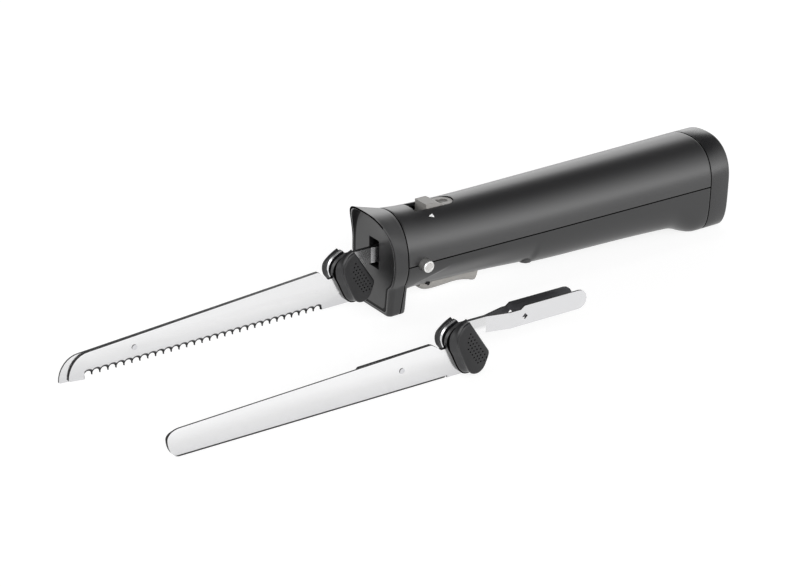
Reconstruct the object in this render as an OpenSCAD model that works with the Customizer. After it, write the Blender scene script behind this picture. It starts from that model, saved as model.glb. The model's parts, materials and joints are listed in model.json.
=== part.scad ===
/* [Handle] */
// Height of the blade drive axis above the table
axis_h = 36.4; // [34:0.2:42]
// Distance from the nose plate to the collar seam
collar_l = 9.6; // [8:0.4:14]
// Length of the upper and lower handle shells
shell_l = 234; // [224:1:260]
// Length of the rear cap
cap_l = 16; // [12:0.2:20]
// Greatest width of the handle
body_w = 52.4; // [50:0.2:60]
// Height of the handle's crown above the drive axis
crown_h = 24.9; // [24:0.1:28]
// Depth of the handle's belly below the drive axis
belly_h = 32.5; // [32:0.1:34]
// Wall of the handle shells
wall = 2.2; // [1.8:0.1:2.4]
// Drop of the shell seam below the drive axis
seam_drop = 4.3; // [4:0.1:5]
// Width of the groove along every housing seam
seam_w = 0.6; // [0.4:0.1:1]

/* [Nose and knuckle guard] */
// Width of the flared rim
rim_w = 46.2; // [45:0.2:52]
// Height of the flared rim above the drive axis
rim_h = 29.1; // [26:0.1:31]
// How far the top of the rim leans forward of the nose plate
rim_reach = 9; // [5:0.5:11]
// How far the sides of the rim stand forward of the nose plate
rim_side_reach = 0.2; // [0.2:0.1:2]
// Width of the rim's lip
lip_w = 1.7; // [1.2:0.1:2.4]
// Thickness of the nose plate
plate_t = 3; // [2.5:0.1:3.4]
// Width of the knuckle guard at its foot
guard_w = 33.2; // [30:0.2:38]
// Length of the knuckle guard's foot
foot_l = 11.6; // [11.2:0.2:16]
// Width of the blade slot
slot_w = 10.2; // [10:0.1:11]
// Height of the blade slot
slot_h = 18.4; // [18:0.2:20]

/* [Blades] */
// Thickness of a blade
steel_t = 1.1; // [0.9:0.1:1.2]
// Distance of a blade's inner face from the middle plane
blade_gap = 0.1; // [0.1:0.05:0.2]
// Reach of the serrated blades' tip in front of the nose plate
blade_reach = 202.4; // [180:0.2:230]
// Extra reach of the right serrated blade
tip_lead = 5.4; // [0:0.1:8]
// Depth of the cutting edge below the drive axis
edge_drop = 26.9; // [24:0.1:28]
// Height of a serrated blade behind its tip
tip_blade_h = 14.4; // [12:0.1:20]
// Height of a serrated blade at its root
root_blade_h = 24.3; // [22:0.1:27]
// Pitch of the serrations
tooth_pitch = 5; // [4:0.25:6]
// Number of serrations
teeth = 31; // [10:1:33]
// Depth of a serration
tooth_depth = 2.6; // [1.5:0.1:3]
// Height of the tang
tang_h = 9.9; // [9:0.1:11]
// Height of the tang's wide end
tang_end_h = 11.8; // [11:0.1:12]
// Distance of the tang's outer face from the middle plane
tang_out = 4.6; // [4:0.1:4.7]
// Reach of the spare blades' tip in front of their guard's rear edge
spare_reach = 198.8; // [180:0.2:220]

/* [Blade guards] */
// Length of a blade guard, from its front to its rear corner
wing_l = 25.3; // [22:0.1:27]
// Height of a blade guard
wing_h = 35; // [32:0.1:36]
// How far a blade guard stands out from the middle plane
wing_out = 11; // [9:0.5:13]

/* [Controls] */
// Diameter of a release button
button_d = 7.3; // [6:0.1:8]
// How far a release button stands out of the handle
button_proud = 5.2; // [4:0.1:6]
// Travel of a release button
button_travel = 3; // [2:0.1:3.2]
// Width of the safety slider
slider_w = 11.8; // [10:0.2:13]
// Length of the safety slider
slider_l = 22.2; // [20:0.2:24]
// Travel of the safety slider
slider_travel = 7.5; // [5:0.5:8]
// Width of the trigger
trigger_w = 14; // [12:0.2:15]
// Length of the trigger
trigger_l = 43.4; // [40:0.2:46]

/* [Drive] */
// Throw of the eccentrics: half of a blade's stroke
throw = 2.8; // [2:0.1:3]
// Radius of an eccentric
ecc_r = 5.5; // [5:0.1:5.6]
// Play between an eccentric and the yoke round it
yoke_play = 0.7; // [0.6:0.05:0.9]
// Module of the worm wheel
gear_m = 0.9; // [0.85:0.05:0.95]
// Teeth of the worm wheel
wheel_teeth = 20; // [19:1:21]
// Starts of the worm
worm_starts = 2; // [1:1:2]
// Pitch radius of the worm
worm_r = 4; // [3.8:0.1:4.2]
// Diameter of the motor
motor_d = 33; // [30:0.5:34]

/* [Hidden] */
$fn = 32;

// General clearances
cut = 1;            // overrun of every cut
fit = 0.3;          // gap between pieces that move past each other
shaft_fit = 0.04;   // radial play of a running or push fit
hair = 0.1;         // play of a piece that only rests against another
seam_d = 0.4;       // depth of the housing seams

// Stations along the handle, measured from the row origin
nose_x = -foot_l / 2;
collar_x = nose_x + collar_l;
cap_x = collar_x + shell_l;
end_x = cap_x + cap_l;

// Outline of the handle: shares along the shells, then shares of the size they follow
width_shares = [[0, 0.855], [0.1, 0.845], [0.25, 0.872], [0.45, 0.917], [0.75, 0.965], [1, 1]];
crown_shares = [[0, 1], [0.06, 0.945], [0.2, 0.905], [0.34, 0.9], [0.75, 0.92], [1, 0.94]];
belly_shares = [[0, 0.93], [0.03, 0.89], [0.06, 0.862], [0.25, 0.874], [0.4, 0.902], [0.415, 0.945],
  [0.6, 0.972], [0.8, 1], [0.885, 1.01], [1, 1.01]];
top_power_shares = [[0, 2.25], [1, 2.36]];
low_power_shares = [[0, 1.75], [0.2, 2.05], [0.5, 2.5], [0.87, 3], [0.975, 4.5], [1, 4.5]];

function slope(t, i) =
  i <= 0 ? (t[1][1] - t[0][1]) / (t[1][0] - t[0][0])
  : i >= len(t) - 1 ? (t[i][1] - t[i - 1][1]) / (t[i][0] - t[i - 1][0])
  : (t[i + 1][1] - t[i - 1][1]) / (t[i + 1][0] - t[i - 1][0]);
function piece(t, s, i = 0) = (i >= len(t) - 2 || s < t[i + 1][0]) ? i : piece(t, s, i + 1);
// Smooth curve through the points of a table of shares
function curve(t, s) =
  let (i = piece(t, s), h = t[i + 1][0] - t[i][0], u = min(max((s - t[i][0]) / h, 0), 1),
    m = slope(t, i) * h, n = slope(t, i + 1) * h)
  (2 * u * u * u - 3 * u * u + 1) * t[i][1] + (u * u * u - 2 * u * u + u) * m
  + (3 * u * u - 2 * u * u * u) * t[i + 1][1] + (u * u * u - u * u) * n;
function ramp(u) = let (v = min(max(u, 0), 1)) v * v * (3 - 2 * v);
function power(v, p) = sign(v) * pow(abs(v), p);
function flat(list) = [for (a = list) for (b = a) b];

function share_at(x) = min(max((x - collar_x) / shell_l, 0), 1);
function half_w(x) = body_w / 2 * curve(width_shares, share_at(x));
function crown(x) = crown_h * curve(crown_shares, share_at(x));

// The heel comes down to the table, level with the foot of the knuckle guard
heel_start_share = 0.885;
heel_end_share = 0.972;
function belly(x) =
  let (s = share_at(x), b = belly_h * curve(belly_shares, min(s, heel_start_share)),
    t = ramp((s - heel_start_share) / (heel_end_share - heel_start_share)))
  b + (axis_h - b) * t;
function top_power(x) = curve(top_power_shares, share_at(x));
function low_power(x) = curve(low_power_shares, share_at(x));

// Finger recess: an inset behind a crease that climbs from the guard to the seam
recess_d = 2.2;
crease_at = 14;
crease_x = nose_x + crease_at;
crease_low = 20;
crease_high = 12;
crease_run = 20;
crease_w = 5;
recess_fade_at = 62;
recess_end_at = 104;
recess_fade = nose_x + recess_fade_at;
recess_end = nose_x + recess_end_at;
recess_step = 4;
recess_left_share = 0.3;
function recess(x, drop) =
  let (line = crease_x + crease_run * (crease_low - drop) / (crease_low - crease_high),
    start = ramp((x - line) / crease_w),
    depth = ramp((drop - seam_drop - seam_drop) / (crease_low - seam_drop - seam_drop)),
    fade = 1 - (1 - recess_left_share) * ramp((x - recess_fade) / (recess_end - recess_fade)),
    stop = 1 - ramp((x - recess_end) / recess_step))
  recess_d * start * depth * fade * stop;

// One point of the upper or lower outline; a runs from 0 to 180 over one half
function top_point(x, a, inset) =
  let (w = half_w(x) - inset, h = crown(x) + seam_drop - inset, p = 2 / top_power(x))
  [x, w * power(cos(a), p), seam_z + h * power(sin(a), p)];
// The heel's underside is drawn flat
heel_flat_share = 0.05;
function low_point(x, a, inset) =
  let (w = half_w(x) - inset, h = belly(x) - seam_drop - inset, p = 2 / low_power(x),
    gain = 1 + heel_flat_share * ramp((share_at(x) - heel_start_share) / (heel_end_share - heel_start_share)),
    drop = seam_drop + h * min(gain * power(sin(a), p), 1), y = w * power(cos(a), p))
  [x, y - sign(y) * min(recess(x, drop), abs(y)), axis_h - drop];
// Whole half outlines, with a groove along the seam
function top_loop(x, inset, groove) =
  let (w = half_w(x) - inset)
  concat([[x, w - groove, seam_z], [x, w, seam_z + seam_w / 2]],
    [for (j = [1:half_steps - 1]) top_point(x, 180 * j / half_steps, inset)],
    [[x, -w, seam_z + seam_w / 2], [x, groove - w, seam_z]]);
function low_loop(x, inset, groove) =
  let (w = half_w(x) - inset)
  concat([[x, groove - w, seam_z], [x, -w, seam_z - seam_w / 2]],
    [for (j = [half_steps - 1:-1:1]) low_point(x, 180 * j / half_steps, inset)],
    [[x, w, seam_z - seam_w / 2], [x, w - groove, seam_z]]);

// Closed skin over a list of equal loops, with a fan to one point at each end
// Seen from the last loop the points run clockwise
module skin(loops, first, last) {
  n = len(loops[0]);
  m = len(loops);
  pts = concat(flat(loops), [first, last]);
  sides = [for (i = [0:m - 2]) for (j = [0:n - 1])
    let (k = (j + 1) % n, a = i * n + j, b = i * n + k, c = a + n, d = b + n)
    each [[a, b, d], [a, d, c]]];
  front = [for (j = [0:n - 1]) [j, m * n, (j + 1) % n]];
  back = [for (j = [0:n - 1]) [(m - 1) * n + j, (m - 1) * n + (j + 1) % n, m * n + 1]];
  polyhedron(pts, concat(sides, front, back));
}

// Open trough between two grids of points, such as one half of a housing
module trough(outer, inner) {
  n = len(outer[0]);
  m = len(outer);
  s = m * n;
  pts = concat(flat(outer), flat(inner));
  walls = [for (i = [0:m - 2]) for (j = [0:n - 2])
    let (a = i * n + j, b = a + 1, c = a + n, d = b + n)
    each [[a, d, b], [a, c, d], [s + a, s + b, s + d], [s + a, s + d, s + c]]];
  rims = [for (i = [0:m - 2]) let (a = i * n, b = a + n, c = a + n - 1, d = c + n)
    each [[a, s + b, b], [a, s + a, s + b], [c, s + d, s + c], [c, d, s + d]]];
  ends = [for (j = [0:n - 2]) let (a = j, b = j + 1, c = (m - 1) * n + j, d = c + 1)
    each [[a, s + b, s + a], [a, b, s + b], [c, s + d, d], [c, s + c, s + d]]];
  polyhedron(pts, concat(walls, rims, ends));
}

half_steps = 18;
shell_shares = [0, 0.012, 0.03, 0.055, 0.085, 0.13, 0.2, 0.28, 0.36, 0.402, 0.42, 0.5, 0.6, 0.7,
  0.8, 0.88, 0.905, 0.925, 0.95, 0.972, 0.985, 1];
crown_step_shares = [0, 0.05, 0.1, 0.16, 0.22, 0.3, 0.4, 0.5, 0.62, 0.75, 0.88, 1];
function station(s) = collar_x + seam_w / 2 + (shell_l - seam_w) * s;

// Straight round bar or ring along X, Y or Z, centred on a point's axis
module rod_x(x0, x1, r, y = 0, z = 0) translate([x0, y, z]) rotate([0, 90, 0]) cylinder(h = x1 - x0, r = r);
module rod_y(y0, y1, r, x = 0, z = 0) translate([x, y0, z]) rotate([-90, 0, 0]) cylinder(h = y1 - y0, r = r);
module rod_z(z0, z1, r, x = 0, y = 0) translate([x, y, z0]) cylinder(h = z1 - z0, r = r);
// Box between two corners
module slab(a, b) translate(a) cube(b - a);
// Flat outline in X and Z, given thickness along Y
module side_plate(y0, y1) translate([0, y1, 0]) rotate([90, 0, 0]) linear_extrude(y1 - y0) children();
// Flat outline in X and Y, given thickness along Z
module floor_plate(z0, z1) translate([0, 0, z0]) linear_extrude(z1 - z0) children();
// Mirror to the right-hand side
module right_side() mirror([0, 1, 0]) children();

// Places of the drive, each worked out from the one in front of it
tang_share = 0.2812;
tang_l = shell_l * tang_share;
tang_end_x = nose_x + tang_l;
wheel_behind_tang = 16.2;
wheel_x = tang_end_x + wheel_behind_tang;
fan_behind_wheel = 29;
fan_x = wheel_x + fan_behind_wheel;
can_behind_fan = 11;
can_x = fan_x + can_behind_fan;
can_share = 0.205;
can_l = shell_l * can_share;

// Values that several pieces share
seam_z = axis_h - seam_drop;
button_at = 20.8;
button_x = nose_x + button_at;
button_z = seam_z;
button_r = button_d / 2;

// Housing screws: two pairs, in wells under the handle, before the motor and before the cap
screw_before_can = 17.5;
screw_before_cap = 20;
screw_xs = [can_x - screw_before_can, cap_x - screw_before_cap];
screw_y = 12;
screw_r = 1.5;
screw_head_r = 2.8;
screw_head_h = 2.2;
well_r = 4.2;
well_wall = 1;
well_drop = 10;
well_top = axis_h - well_drop;
boss_r = 3.4;
screw_bite = 9;

// Safety slider and its opening
slider_at = 33.2;
slider_x = nose_x + slider_at;
slide_gap = 0.4;
slider_open_x = slider_x - slider_travel - 2 * slide_gap;
slider_open_r = slider_w / 2 + slide_gap;
slider_end_x = slider_x + slider_l;
slider_tilt_rise = crown(slider_x) - crown(slider_end_x);
slider_mid_x = slider_x + slider_l / 2;

// Trigger, its opening and its pivot
trigger_at = 28.8;
trigger_x = nose_x + trigger_at;
trigger_gap = 0.5;
trigger_pin_at = 4.2;
trigger_pin_x = trigger_x + trigger_pin_at;
trigger_pin_r = 1.25;
trigger_pin_drop = 24.6;
trigger_pin_z = axis_h - trigger_pin_drop;
ear_t = 2;
ear_gap = 0.4;

// Gear frame: web and cheeks that guide the drive slides
frame_at = 14;
frame_behind_wheel = 16.4;
frame_x0 = nose_x + frame_at;
frame_x1 = wheel_x + frame_behind_wheel;
web_t = 2.4;
web_drop = 8;
web_top = axis_h - web_drop;
web_w = 28.2;
cheek_share = 0.195;
cheek_in = body_w * cheek_share;
cheek_t = 2;
cheek_rise = 9.6;
cheek_top = axis_h + cheek_rise;
bulkhead_t = 3;
post_r = 2.5;
post_y = 10;
post_in = 6.2;
post_xs = [frame_x0 + post_in, frame_x1 - post_in];

// Worm wheel and worm
wheel_r = gear_m * wheel_teeth / 2;
wheel_rise = 9;
wheel_z = axis_h + wheel_rise;
worm_z = wheel_z - wheel_r - worm_r;
wheel_w = 5;
axle_r = 2;
gear_pitch = PI * gear_m;
worm_lead = worm_starts * gear_pitch;
lead_angle = atan(worm_lead / (2 * PI * worm_r));
tooth_addendum = gear_m * 0.85;
tooth_dedendum = gear_m * 1.15;
worm_l = 19;
shaft_r = 1.5;
ecc_end = cheek_in - fit - hair;

// Motor, fan and supports
fan_l = 6;
can_t = 1.2;
motor_r = motor_d / 2;
brush_cap_l = 12;
saddle_shares = [0.1, 0.84];
saddle_xs = [for (share = saddle_shares) can_x + can_l * share];
saddle_t = 2;
saddle_drop = 12;
saddle_top = axis_h - saddle_drop;
boss_bore_r = 3;

module blade_slot_cut() {
  slab([nose_x - cut - rim_reach, -slot_w / 2, axis_h - slot_h / 2],
    [nose_x + plate_t + cut, slot_w / 2, axis_h + slot_h / 2]);
}

// Flared nose with the front part of the knuckle guard, in one moulding
guard_flare_w = 4;
guard_top_w = guard_w + guard_flare_w;
guard_top_drop = 18;
guard_round = 1.6;
guard_seam_lean = 1.9;
level_shares = [0.1, 0.22, 0.34, 0.45, 0.58, 0.72, 0.86, 0.95];
flare_shares = [0.72, 0.45, 0.22, 0.06];
rim_belly = 30.2;
rim_edge = 0.2;
bowl_share = 2.4;
nose_cavity_w = 21;
nose_cavity_up = 11.5;
nose_cavity_down = 9.5;
rim_power = 1.9;
rim_round = 3;
flare_power = 1.2;
nose_power = 2.25;
nose_low_power = 1.75;
fade_drop = 10;
fade_run = 9;

function guard_share(drop) = (drop - guard_top_drop) / (axis_h - guard_top_drop);
function guard_half(drop) = guard_top_w / 2 + (guard_w - guard_top_w) / 2 * guard_share(drop);
function rim_x(up) =
  up >= 0 ? nose_x - rim_side_reach - (rim_reach - rim_side_reach) * pow(min(up / rim_h, 1), rim_power)
  : nose_x - rim_side_reach * (1 - ramp((-up - fade_drop) / fade_run));
// The seam behind the guard leans forward towards the foot
function guard_seam_x(up) = collar_x - guard_seam_lean * min(max(guard_share(-up), 0), 1);
// Outline of the nose at one depth: w and h are its half width and height, inset draws it in
// and round is the power of its rounded top
function nose_loop(w, h, inset, round) =
  let (wi = w - inset, hi = h + seam_drop - inset, foot = axis_h - inset,
    top = [for (j = [0:half_steps])
      let (a = 180 * j / half_steps)
      [wi * power(cos(a), 2 / round), hi * power(sin(a), 2 / round) - seam_drop]],
    side = [for (s = level_shares)
      let (drop = seam_drop + (foot - guard_round - seam_drop) * s, v = min((drop - seam_drop) / (rim_belly - seam_drop), 1),
        round_y = wi * pow(1 - pow(v, nose_low_power), 1 / nose_low_power))
      [max(round_y, guard_half(drop) - inset), -drop]],
    down = concat(side, [[guard_w / 2 - inset, guard_round - foot], [guard_w / 2 - inset - guard_round, -foot]]))
  concat(top, [for (p = down) [-p[0], p[1]]], [for (i = [len(down) - 1:-1:0]) down[i]]);
// The outline bent to the rim in front (share 0), the seam behind (share 1) or between them
function nose_ring(loop, x_share, lead = 0) =
  [for (p = loop) let (front = rim_x(p[1])) [front + (guard_seam_x(p[1]) - front) * x_share - lead, p[0], axis_h + p[1]]];

module front_collar() color("#3a3a3c") {
  back_w = half_w(collar_x);
  back_h = crown(collar_x);
  flare = [for (s = flare_shares)
    let (f = pow(1 - s, flare_power))
    nose_ring(nose_loop(back_w + (rim_w / 2 - back_w) * f, back_h + (rim_h - back_h) * f, 0,
      nose_power + (rim_round - nose_power) * f), s)];
  difference() {
    skin(concat([nose_ring(nose_loop(back_w, back_h, seam_d, nose_power), 1),
        nose_ring(nose_loop(back_w, back_h, 0, nose_power), 1, seam_w / 2)],
        flare, [
        nose_ring(nose_loop(rim_w / 2, rim_h, rim_edge, rim_round), 0),
        nose_ring(nose_loop(rim_w / 2, rim_h, lip_w, rim_round), 0),
        [for (p = nose_loop(rim_w / 2, rim_h, lip_w * bowl_share, rim_round)) [nose_x, p[0], axis_h + p[1]]]]),
      [collar_x, 0, seam_z], [nose_x, 0, seam_z]);
    blade_slot_cut();
    slab([nose_x + plate_t, -nose_cavity_w / 2, axis_h - nose_cavity_down],
      [collar_x + cut, nose_cavity_w / 2, axis_h + nose_cavity_up]);
  }
}

// Half shell: outer and inner skins over all stations, the ends drawn in for the seams
module upper_skin() {
  xs = [for (s = crown_step_shares) station(s)];
  trough(concat([top_loop(collar_x, seam_d, seam_d)], [for (x = xs) top_loop(x, 0, seam_d)],
      [top_loop(cap_x, seam_d, seam_d)]),
    concat([top_loop(collar_x, wall, 0)], [for (x = xs) top_loop(x, wall, 0)], [top_loop(cap_x, wall, 0)]));
}
// Solid that fills a half shell to the middle of its wall: it trims the posts inside
module upper_core() {
  n = len(crown_step_shares);
  skin([for (i = [n - 1:-1:0]) top_loop(station(crown_step_shares[i]), wall / 2, 0)],
    [station(1), 0, seam_z + wall], [station(0), 0, seam_z + wall]);
}
module upper_shell() color("#3a3a3c") {
  difference() {
    union() {
      upper_skin();
      intersection() {
        upper_core();
        for (x = screw_xs) for (side = [-1, 1]) rod_z(seam_z, axis_h + crown_h, boss_r, x, side * screw_y);
      }
    }
    for (x = screw_xs) for (side = [-1, 1])
      rod_z(seam_z - cut, seam_z + screw_bite + cut, screw_r + shaft_fit, x, side * screw_y);
    slider_opening();
    button_holes();
  }
}

module slider_opening() {
  floor_plate(axis_h + crown_h / 2, axis_h + crown_h + cut) {
    translate([slider_open_x, -slider_open_r])
      square([slider_end_x + slide_gap - slider_open_r - slider_open_x, 2 * slider_open_r]);
    translate([slider_end_x + slide_gap - slider_open_r, 0]) circle(slider_open_r);
  }
}

module button_holes() {
  rod_y(-body_w, body_w, button_r + fit, button_x, button_z);
}

module lower_skin() {
  xs = [for (s = shell_shares) station(s)];
  trough(concat([low_loop(collar_x, seam_d, seam_d)], [for (x = xs) low_loop(x, 0, seam_d)],
      [low_loop(cap_x, seam_d, seam_d)]),
    concat([low_loop(collar_x, wall, 0)], [for (x = xs) low_loop(x, wall, 0)], [low_loop(cap_x, wall, 0)]));
}
module lower_core() {
  n = len(shell_shares);
  skin([for (i = [n - 1:-1:0]) low_loop(station(shell_shares[i]), wall / 2, 0)],
    [station(1), 0, seam_z - wall], [station(0), 0, seam_z - wall]);
}
module lower_shell() color("#39393b") {
  difference() {
    union() {
      lower_skin();
      guard_back();
      intersection() {
        lower_core();
        union() {
          for (side = [-1, 1]) {
            for (x = screw_xs) rod_z(0, seam_z, well_r, x, side * screw_y);
            for (x = post_xs) rod_z(0, web_top - web_t, post_r, x, side * post_y);
            for (x = board_post_xs) rod_z(0, board_z, post_r, x, side * board_post_y);
          }
          for (x = saddle_xs) slab([x, -body_w, 0], [x + saddle_t, body_w, saddle_top]);
          trigger_ears();
        }
      }
    }
    for (x = screw_xs) for (side = [-1, 1]) {
      rod_z(-cut, well_top, well_r - well_wall, x, side * screw_y);
      rod_z(well_top - cut, seam_z + cut, screw_r + shaft_fit, x, side * screw_y);
    }
    for (x = saddle_xs)
      rod_x(x - cut, x + saddle_t + cut, motor_r + hair, 0, worm_z);
    slab([trigger_x - trigger_gap, -trigger_w / 2 - trigger_gap, 0],
      [trigger_x + trigger_l + 2 * trigger_gap, trigger_w / 2 + trigger_gap, trigger_pin_z + knuckle_r + trigger_gap]);
    rod_y(-trigger_ear_y, trigger_ear_y, trigger_pin_r + shaft_fit, trigger_pin_x, trigger_pin_z);
    button_holes();
  }
}

// Rear part of the knuckle guard, moulded with the lower shell
guard_back_drop = 12;
guard_lean = 0.9;
module guard_back() {
  x1 = nose_x + foot_l;
  skin([for (lean = [guard_lean, 0]) [for (side = [1, -1])
      each [for (k = side == 1 ? [0:3] : [3:-1:0])
        let (drop = [axis_h, axis_h - guard_round, guard_top_drop, guard_back_drop][k],
          y = [guard_w / 2 - guard_round, guard_w / 2, guard_half(guard_top_drop), guard_half(guard_top_drop) - wall][k])
        [lean == 0 ? guard_seam_x(-drop) : k < 2 ? x1 - lean : x1, side * (k == 2 ? y - lean : y), axis_h - drop]]]],
    [x1, 0, axis_h / 2], [guard_seam_x(-axis_h / 2), 0, axis_h / 2]);
}

// Two ears in the floor of the lower shell that hold the trigger's pin
trigger_ear_y = trigger_w / 2 + trigger_gap + ear_gap + ear_t;
ear_l = 7.5;
ear_rise = 3.8;
module trigger_ears() {
  for (y0 = [-trigger_ear_y, trigger_ear_y - ear_t])
    slab([trigger_pin_x - ear_l / 2, y0, 0], [trigger_pin_x + ear_l / 2, y0 + ear_t, trigger_pin_z + ear_rise]);
}

// Closed cup behind the shells, with the hole for the lead's bushing
cap_round = 1.8;
cap_round_share = 0.7;
inlet_r = 5;
inlet_drop = 10;
cap_inner_x = end_x - plate_t;
function cap_ring(x, inset) =
  [for (p = concat([for (j = [0:half_steps - 1]) top_point(cap_x, 180 * j / half_steps, inset)],
      [for (j = [half_steps:-1:1]) low_point(cap_x, 180 * j / half_steps, inset)])) [x, p[1], p[2]]];
module rear_cap() color("#343436") {
  loops = concat([for (a = [90, 60, 30, 0])
      cap_ring(end_x - cap_round + cap_round * sin(a), cap_round * (1 - cos(a)) * cap_round_share)],
    [cap_ring(cap_x + seam_w / 2, 0), cap_ring(cap_x, seam_d), cap_ring(cap_x, wall),
      cap_ring(cap_inner_x - cap_round, wall), cap_ring(cap_inner_x, wall + cap_round)]);
  difference() {
    skin(loops, [end_x, 0, seam_z], [cap_inner_x, 0, seam_z]);
    rod_x(cap_inner_x - cut, end_x + cut, inlet_r, 0, axis_h - inlet_drop);
  }
}

// Rubber bushing that leads the mains lead into the rear cap
bushing_bore_r = 3.4;
bushing_flange_r = 6.8;
bushing_flange_t = 2.4;
bushing_proud = 0.6;
module inlet_bushing() color("#202022") {
  x0 = cap_inner_x - hair - bushing_flange_t;
  difference() {
    union() {
      rod_x(x0, x0 + bushing_flange_t, bushing_flange_r, 0, axis_h - inlet_drop);
      rod_x(x0, end_x + bushing_proud, inlet_r - shaft_fit, 0, axis_h - inlet_drop);
    }
    rod_x(x0 - cut, end_x + bushing_proud + cut, bushing_bore_r, 0, axis_h - inlet_drop);
  }
}

module housing_screws() color("#b8b8ba") {
  for (x = screw_xs) for (side = [-1, 1]) {
    rod_z(well_top - screw_head_h, well_top, screw_head_r, x, side * screw_y);
    rod_z(well_top - hair, seam_z + screw_bite, screw_r, x, side * screw_y);
  }
}

// Thumb slider in the crown of the handle, tilted to follow it
block_h = 2.8;
block_l = 7.6;
block_slope_l = 4.8;
slider_t = 2.2;
slider_sink = 0.7;
dimple_r = 2.6;
dimple_l = 3.4;
dimple_d = 0.6;
slider_key_w = 7;
slider_key_h = 5;
slider_flange_w = 15;
slider_flange_t = 1.6;
module safety_slider() color("#b3afa9") {
  z0 = axis_h + crown(slider_mid_x) - slider_sink;
  h = slider_tilt_rise / 2;
  under = z0 - wall - slider_sink - slide_gap;
  difference() {
    intersection() {
      side_plate(-slider_w / 2, slider_w / 2) polygon([
        [slider_x, z0 + h - slider_t - slider_key_h],
        [slider_x, z0 + block_h],
        [slider_x + block_l, z0 + block_h],
        [slider_x + block_l + block_slope_l, z0],
        [slider_end_x, z0 - h],
        [slider_end_x, z0 - h - slider_t],
        [slider_x + slider_t, z0 + h - slider_t],
        [slider_x + slider_t, z0 + h - slider_t - slider_key_h]]);
      floor_plate(z0 - crown_h, z0 + crown_h) {
        translate([slider_x, -slider_w / 2]) square([slider_l - slider_w / 2, slider_w]);
        translate([slider_end_x - slider_w / 2, 0]) circle(slider_w / 2);
      }
    }
    floor_plate(z0 - h / 2 - dimple_d, z0 + crown_h) for (s = [-1, 1])
      translate([slider_end_x - slider_w / 2 - dimple_r / 2 + s * dimple_l / 2, 0]) circle(dimple_r);
  }
  slab([slider_x + block_l, -slider_key_w / 2, under - slider_flange_t / 2],
    [slider_x + block_l + slider_key_w, slider_key_w / 2, z0 - slider_t / 2]);
  slab([slider_x + block_l, -slider_flange_w / 2, under - slider_flange_t],
    [slider_x + block_l + slider_key_w, slider_flange_w / 2, under]);
}

// Trigger: a lever under the grip, hung on a pin near its front
trigger_shares = [[0, 0.35], [0.05, 0.62], [0.12, 0.82], [0.24, 0.9], [0.45, 0.87], [0.62, 0.83],
  [0.76, 0.92], [0.88, 1.1], [0.96, 1.26], [0.985, 1.2], [1, 0.75]];
trigger_depth = 7.2;
trigger_top_drop = 25.4;
trigger_corner_power = 3.2;
trigger_sides = 9;
actuator_l = 4;
actuator_h = 1.2;
knuckle_r = 2.6;
function trigger_ring(s, depth_share) =
  let (x = trigger_x + trigger_l * s, top = axis_h - trigger_top_drop - (s == 1 ? trigger_corner_power : 0),
    bottom = axis_h - trigger_top_drop - trigger_depth * depth_share)
  [for (j = [0:trigger_sides]) let (a = 180 + 180 * j / trigger_sides)
    [x, trigger_w / 2 * power(cos(a), 2 / trigger_corner_power),
      top + (top - bottom) * power(sin(a), 2 / trigger_corner_power)]];
module trigger() color("#b9b5ae") {
  rings = [for (t = trigger_shares) trigger_ring(t[0], t[1])];
  first = trigger_shares[0];
  difference() {
    union() {
      skin([for (i = [len(rings) - 1:-1:0]) rings[i]],
        [trigger_x + trigger_l, 0, axis_h - trigger_top_drop - trigger_depth / 2],
        [trigger_x, 0, axis_h - trigger_top_drop - first[1]]);
      rod_y(-trigger_w / 2 + ear_gap, trigger_w / 2 - ear_gap, knuckle_r, trigger_pin_x, trigger_pin_z);
      slab([switch_plunger_x - actuator_l / 2, -actuator_l / 2, axis_h - trigger_top_drop - actuator_h],
        [switch_plunger_x + actuator_l / 2, actuator_l / 2, axis_h - trigger_top_drop + actuator_h]);
    }
    rod_y(-body_w, body_w, trigger_pin_r + shaft_fit, trigger_pin_x, trigger_pin_z);
  }
}

module trigger_pin() color("#c9c9cb") {
  rod_y(-trigger_ear_y, trigger_ear_y, trigger_pin_r, trigger_pin_x, trigger_pin_z);
}

// Compression spring: one tube of six sides along a helix, eight rings to a curl
spring_sides = 6;
spring_rings = 8;
module spring(r, wire, length, curls) {
  n = curls * spring_rings;
  rise = length - wire;
  slant = atan(rise / curls / (2 * PI * r));
  loops = [for (i = [0:n])
    let (a = 360 * i / spring_rings, z = wire / 2 + rise * i / n)
    [for (j = [0:spring_sides - 1]) let (b = 360 * j / spring_sides, u = wire / 2 * cos(b), v = wire / 2 * sin(b))
      [(r + u) * cos(a) + v * sin(a) * sin(slant), (r + u) * sin(a) - v * cos(a) * sin(slant),
        z + v * cos(slant)]]];
  skin(loops, [r, 0, wire / 2], [r * cos(360 * curls), r * sin(360 * curls), length - wire / 2]);
  echo(least_gap = rise / curls * cos(slant) - wire);
}

trigger_spring_at = 64.6;
trigger_spring_x = nose_x + trigger_spring_at;
trigger_spring_r = 2.4;
trigger_spring_wire = 0.6;
trigger_spring_curls = 6;
module trigger_spring() color("#c4c4c6") {
  z0 = axis_h - trigger_top_drop + hair;
  z1 = web_top - web_t - hair;
  translate([trigger_spring_x, 0, z0])
    spring(trigger_spring_r, trigger_spring_wire, z1 - z0, trigger_spring_curls);
}

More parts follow.
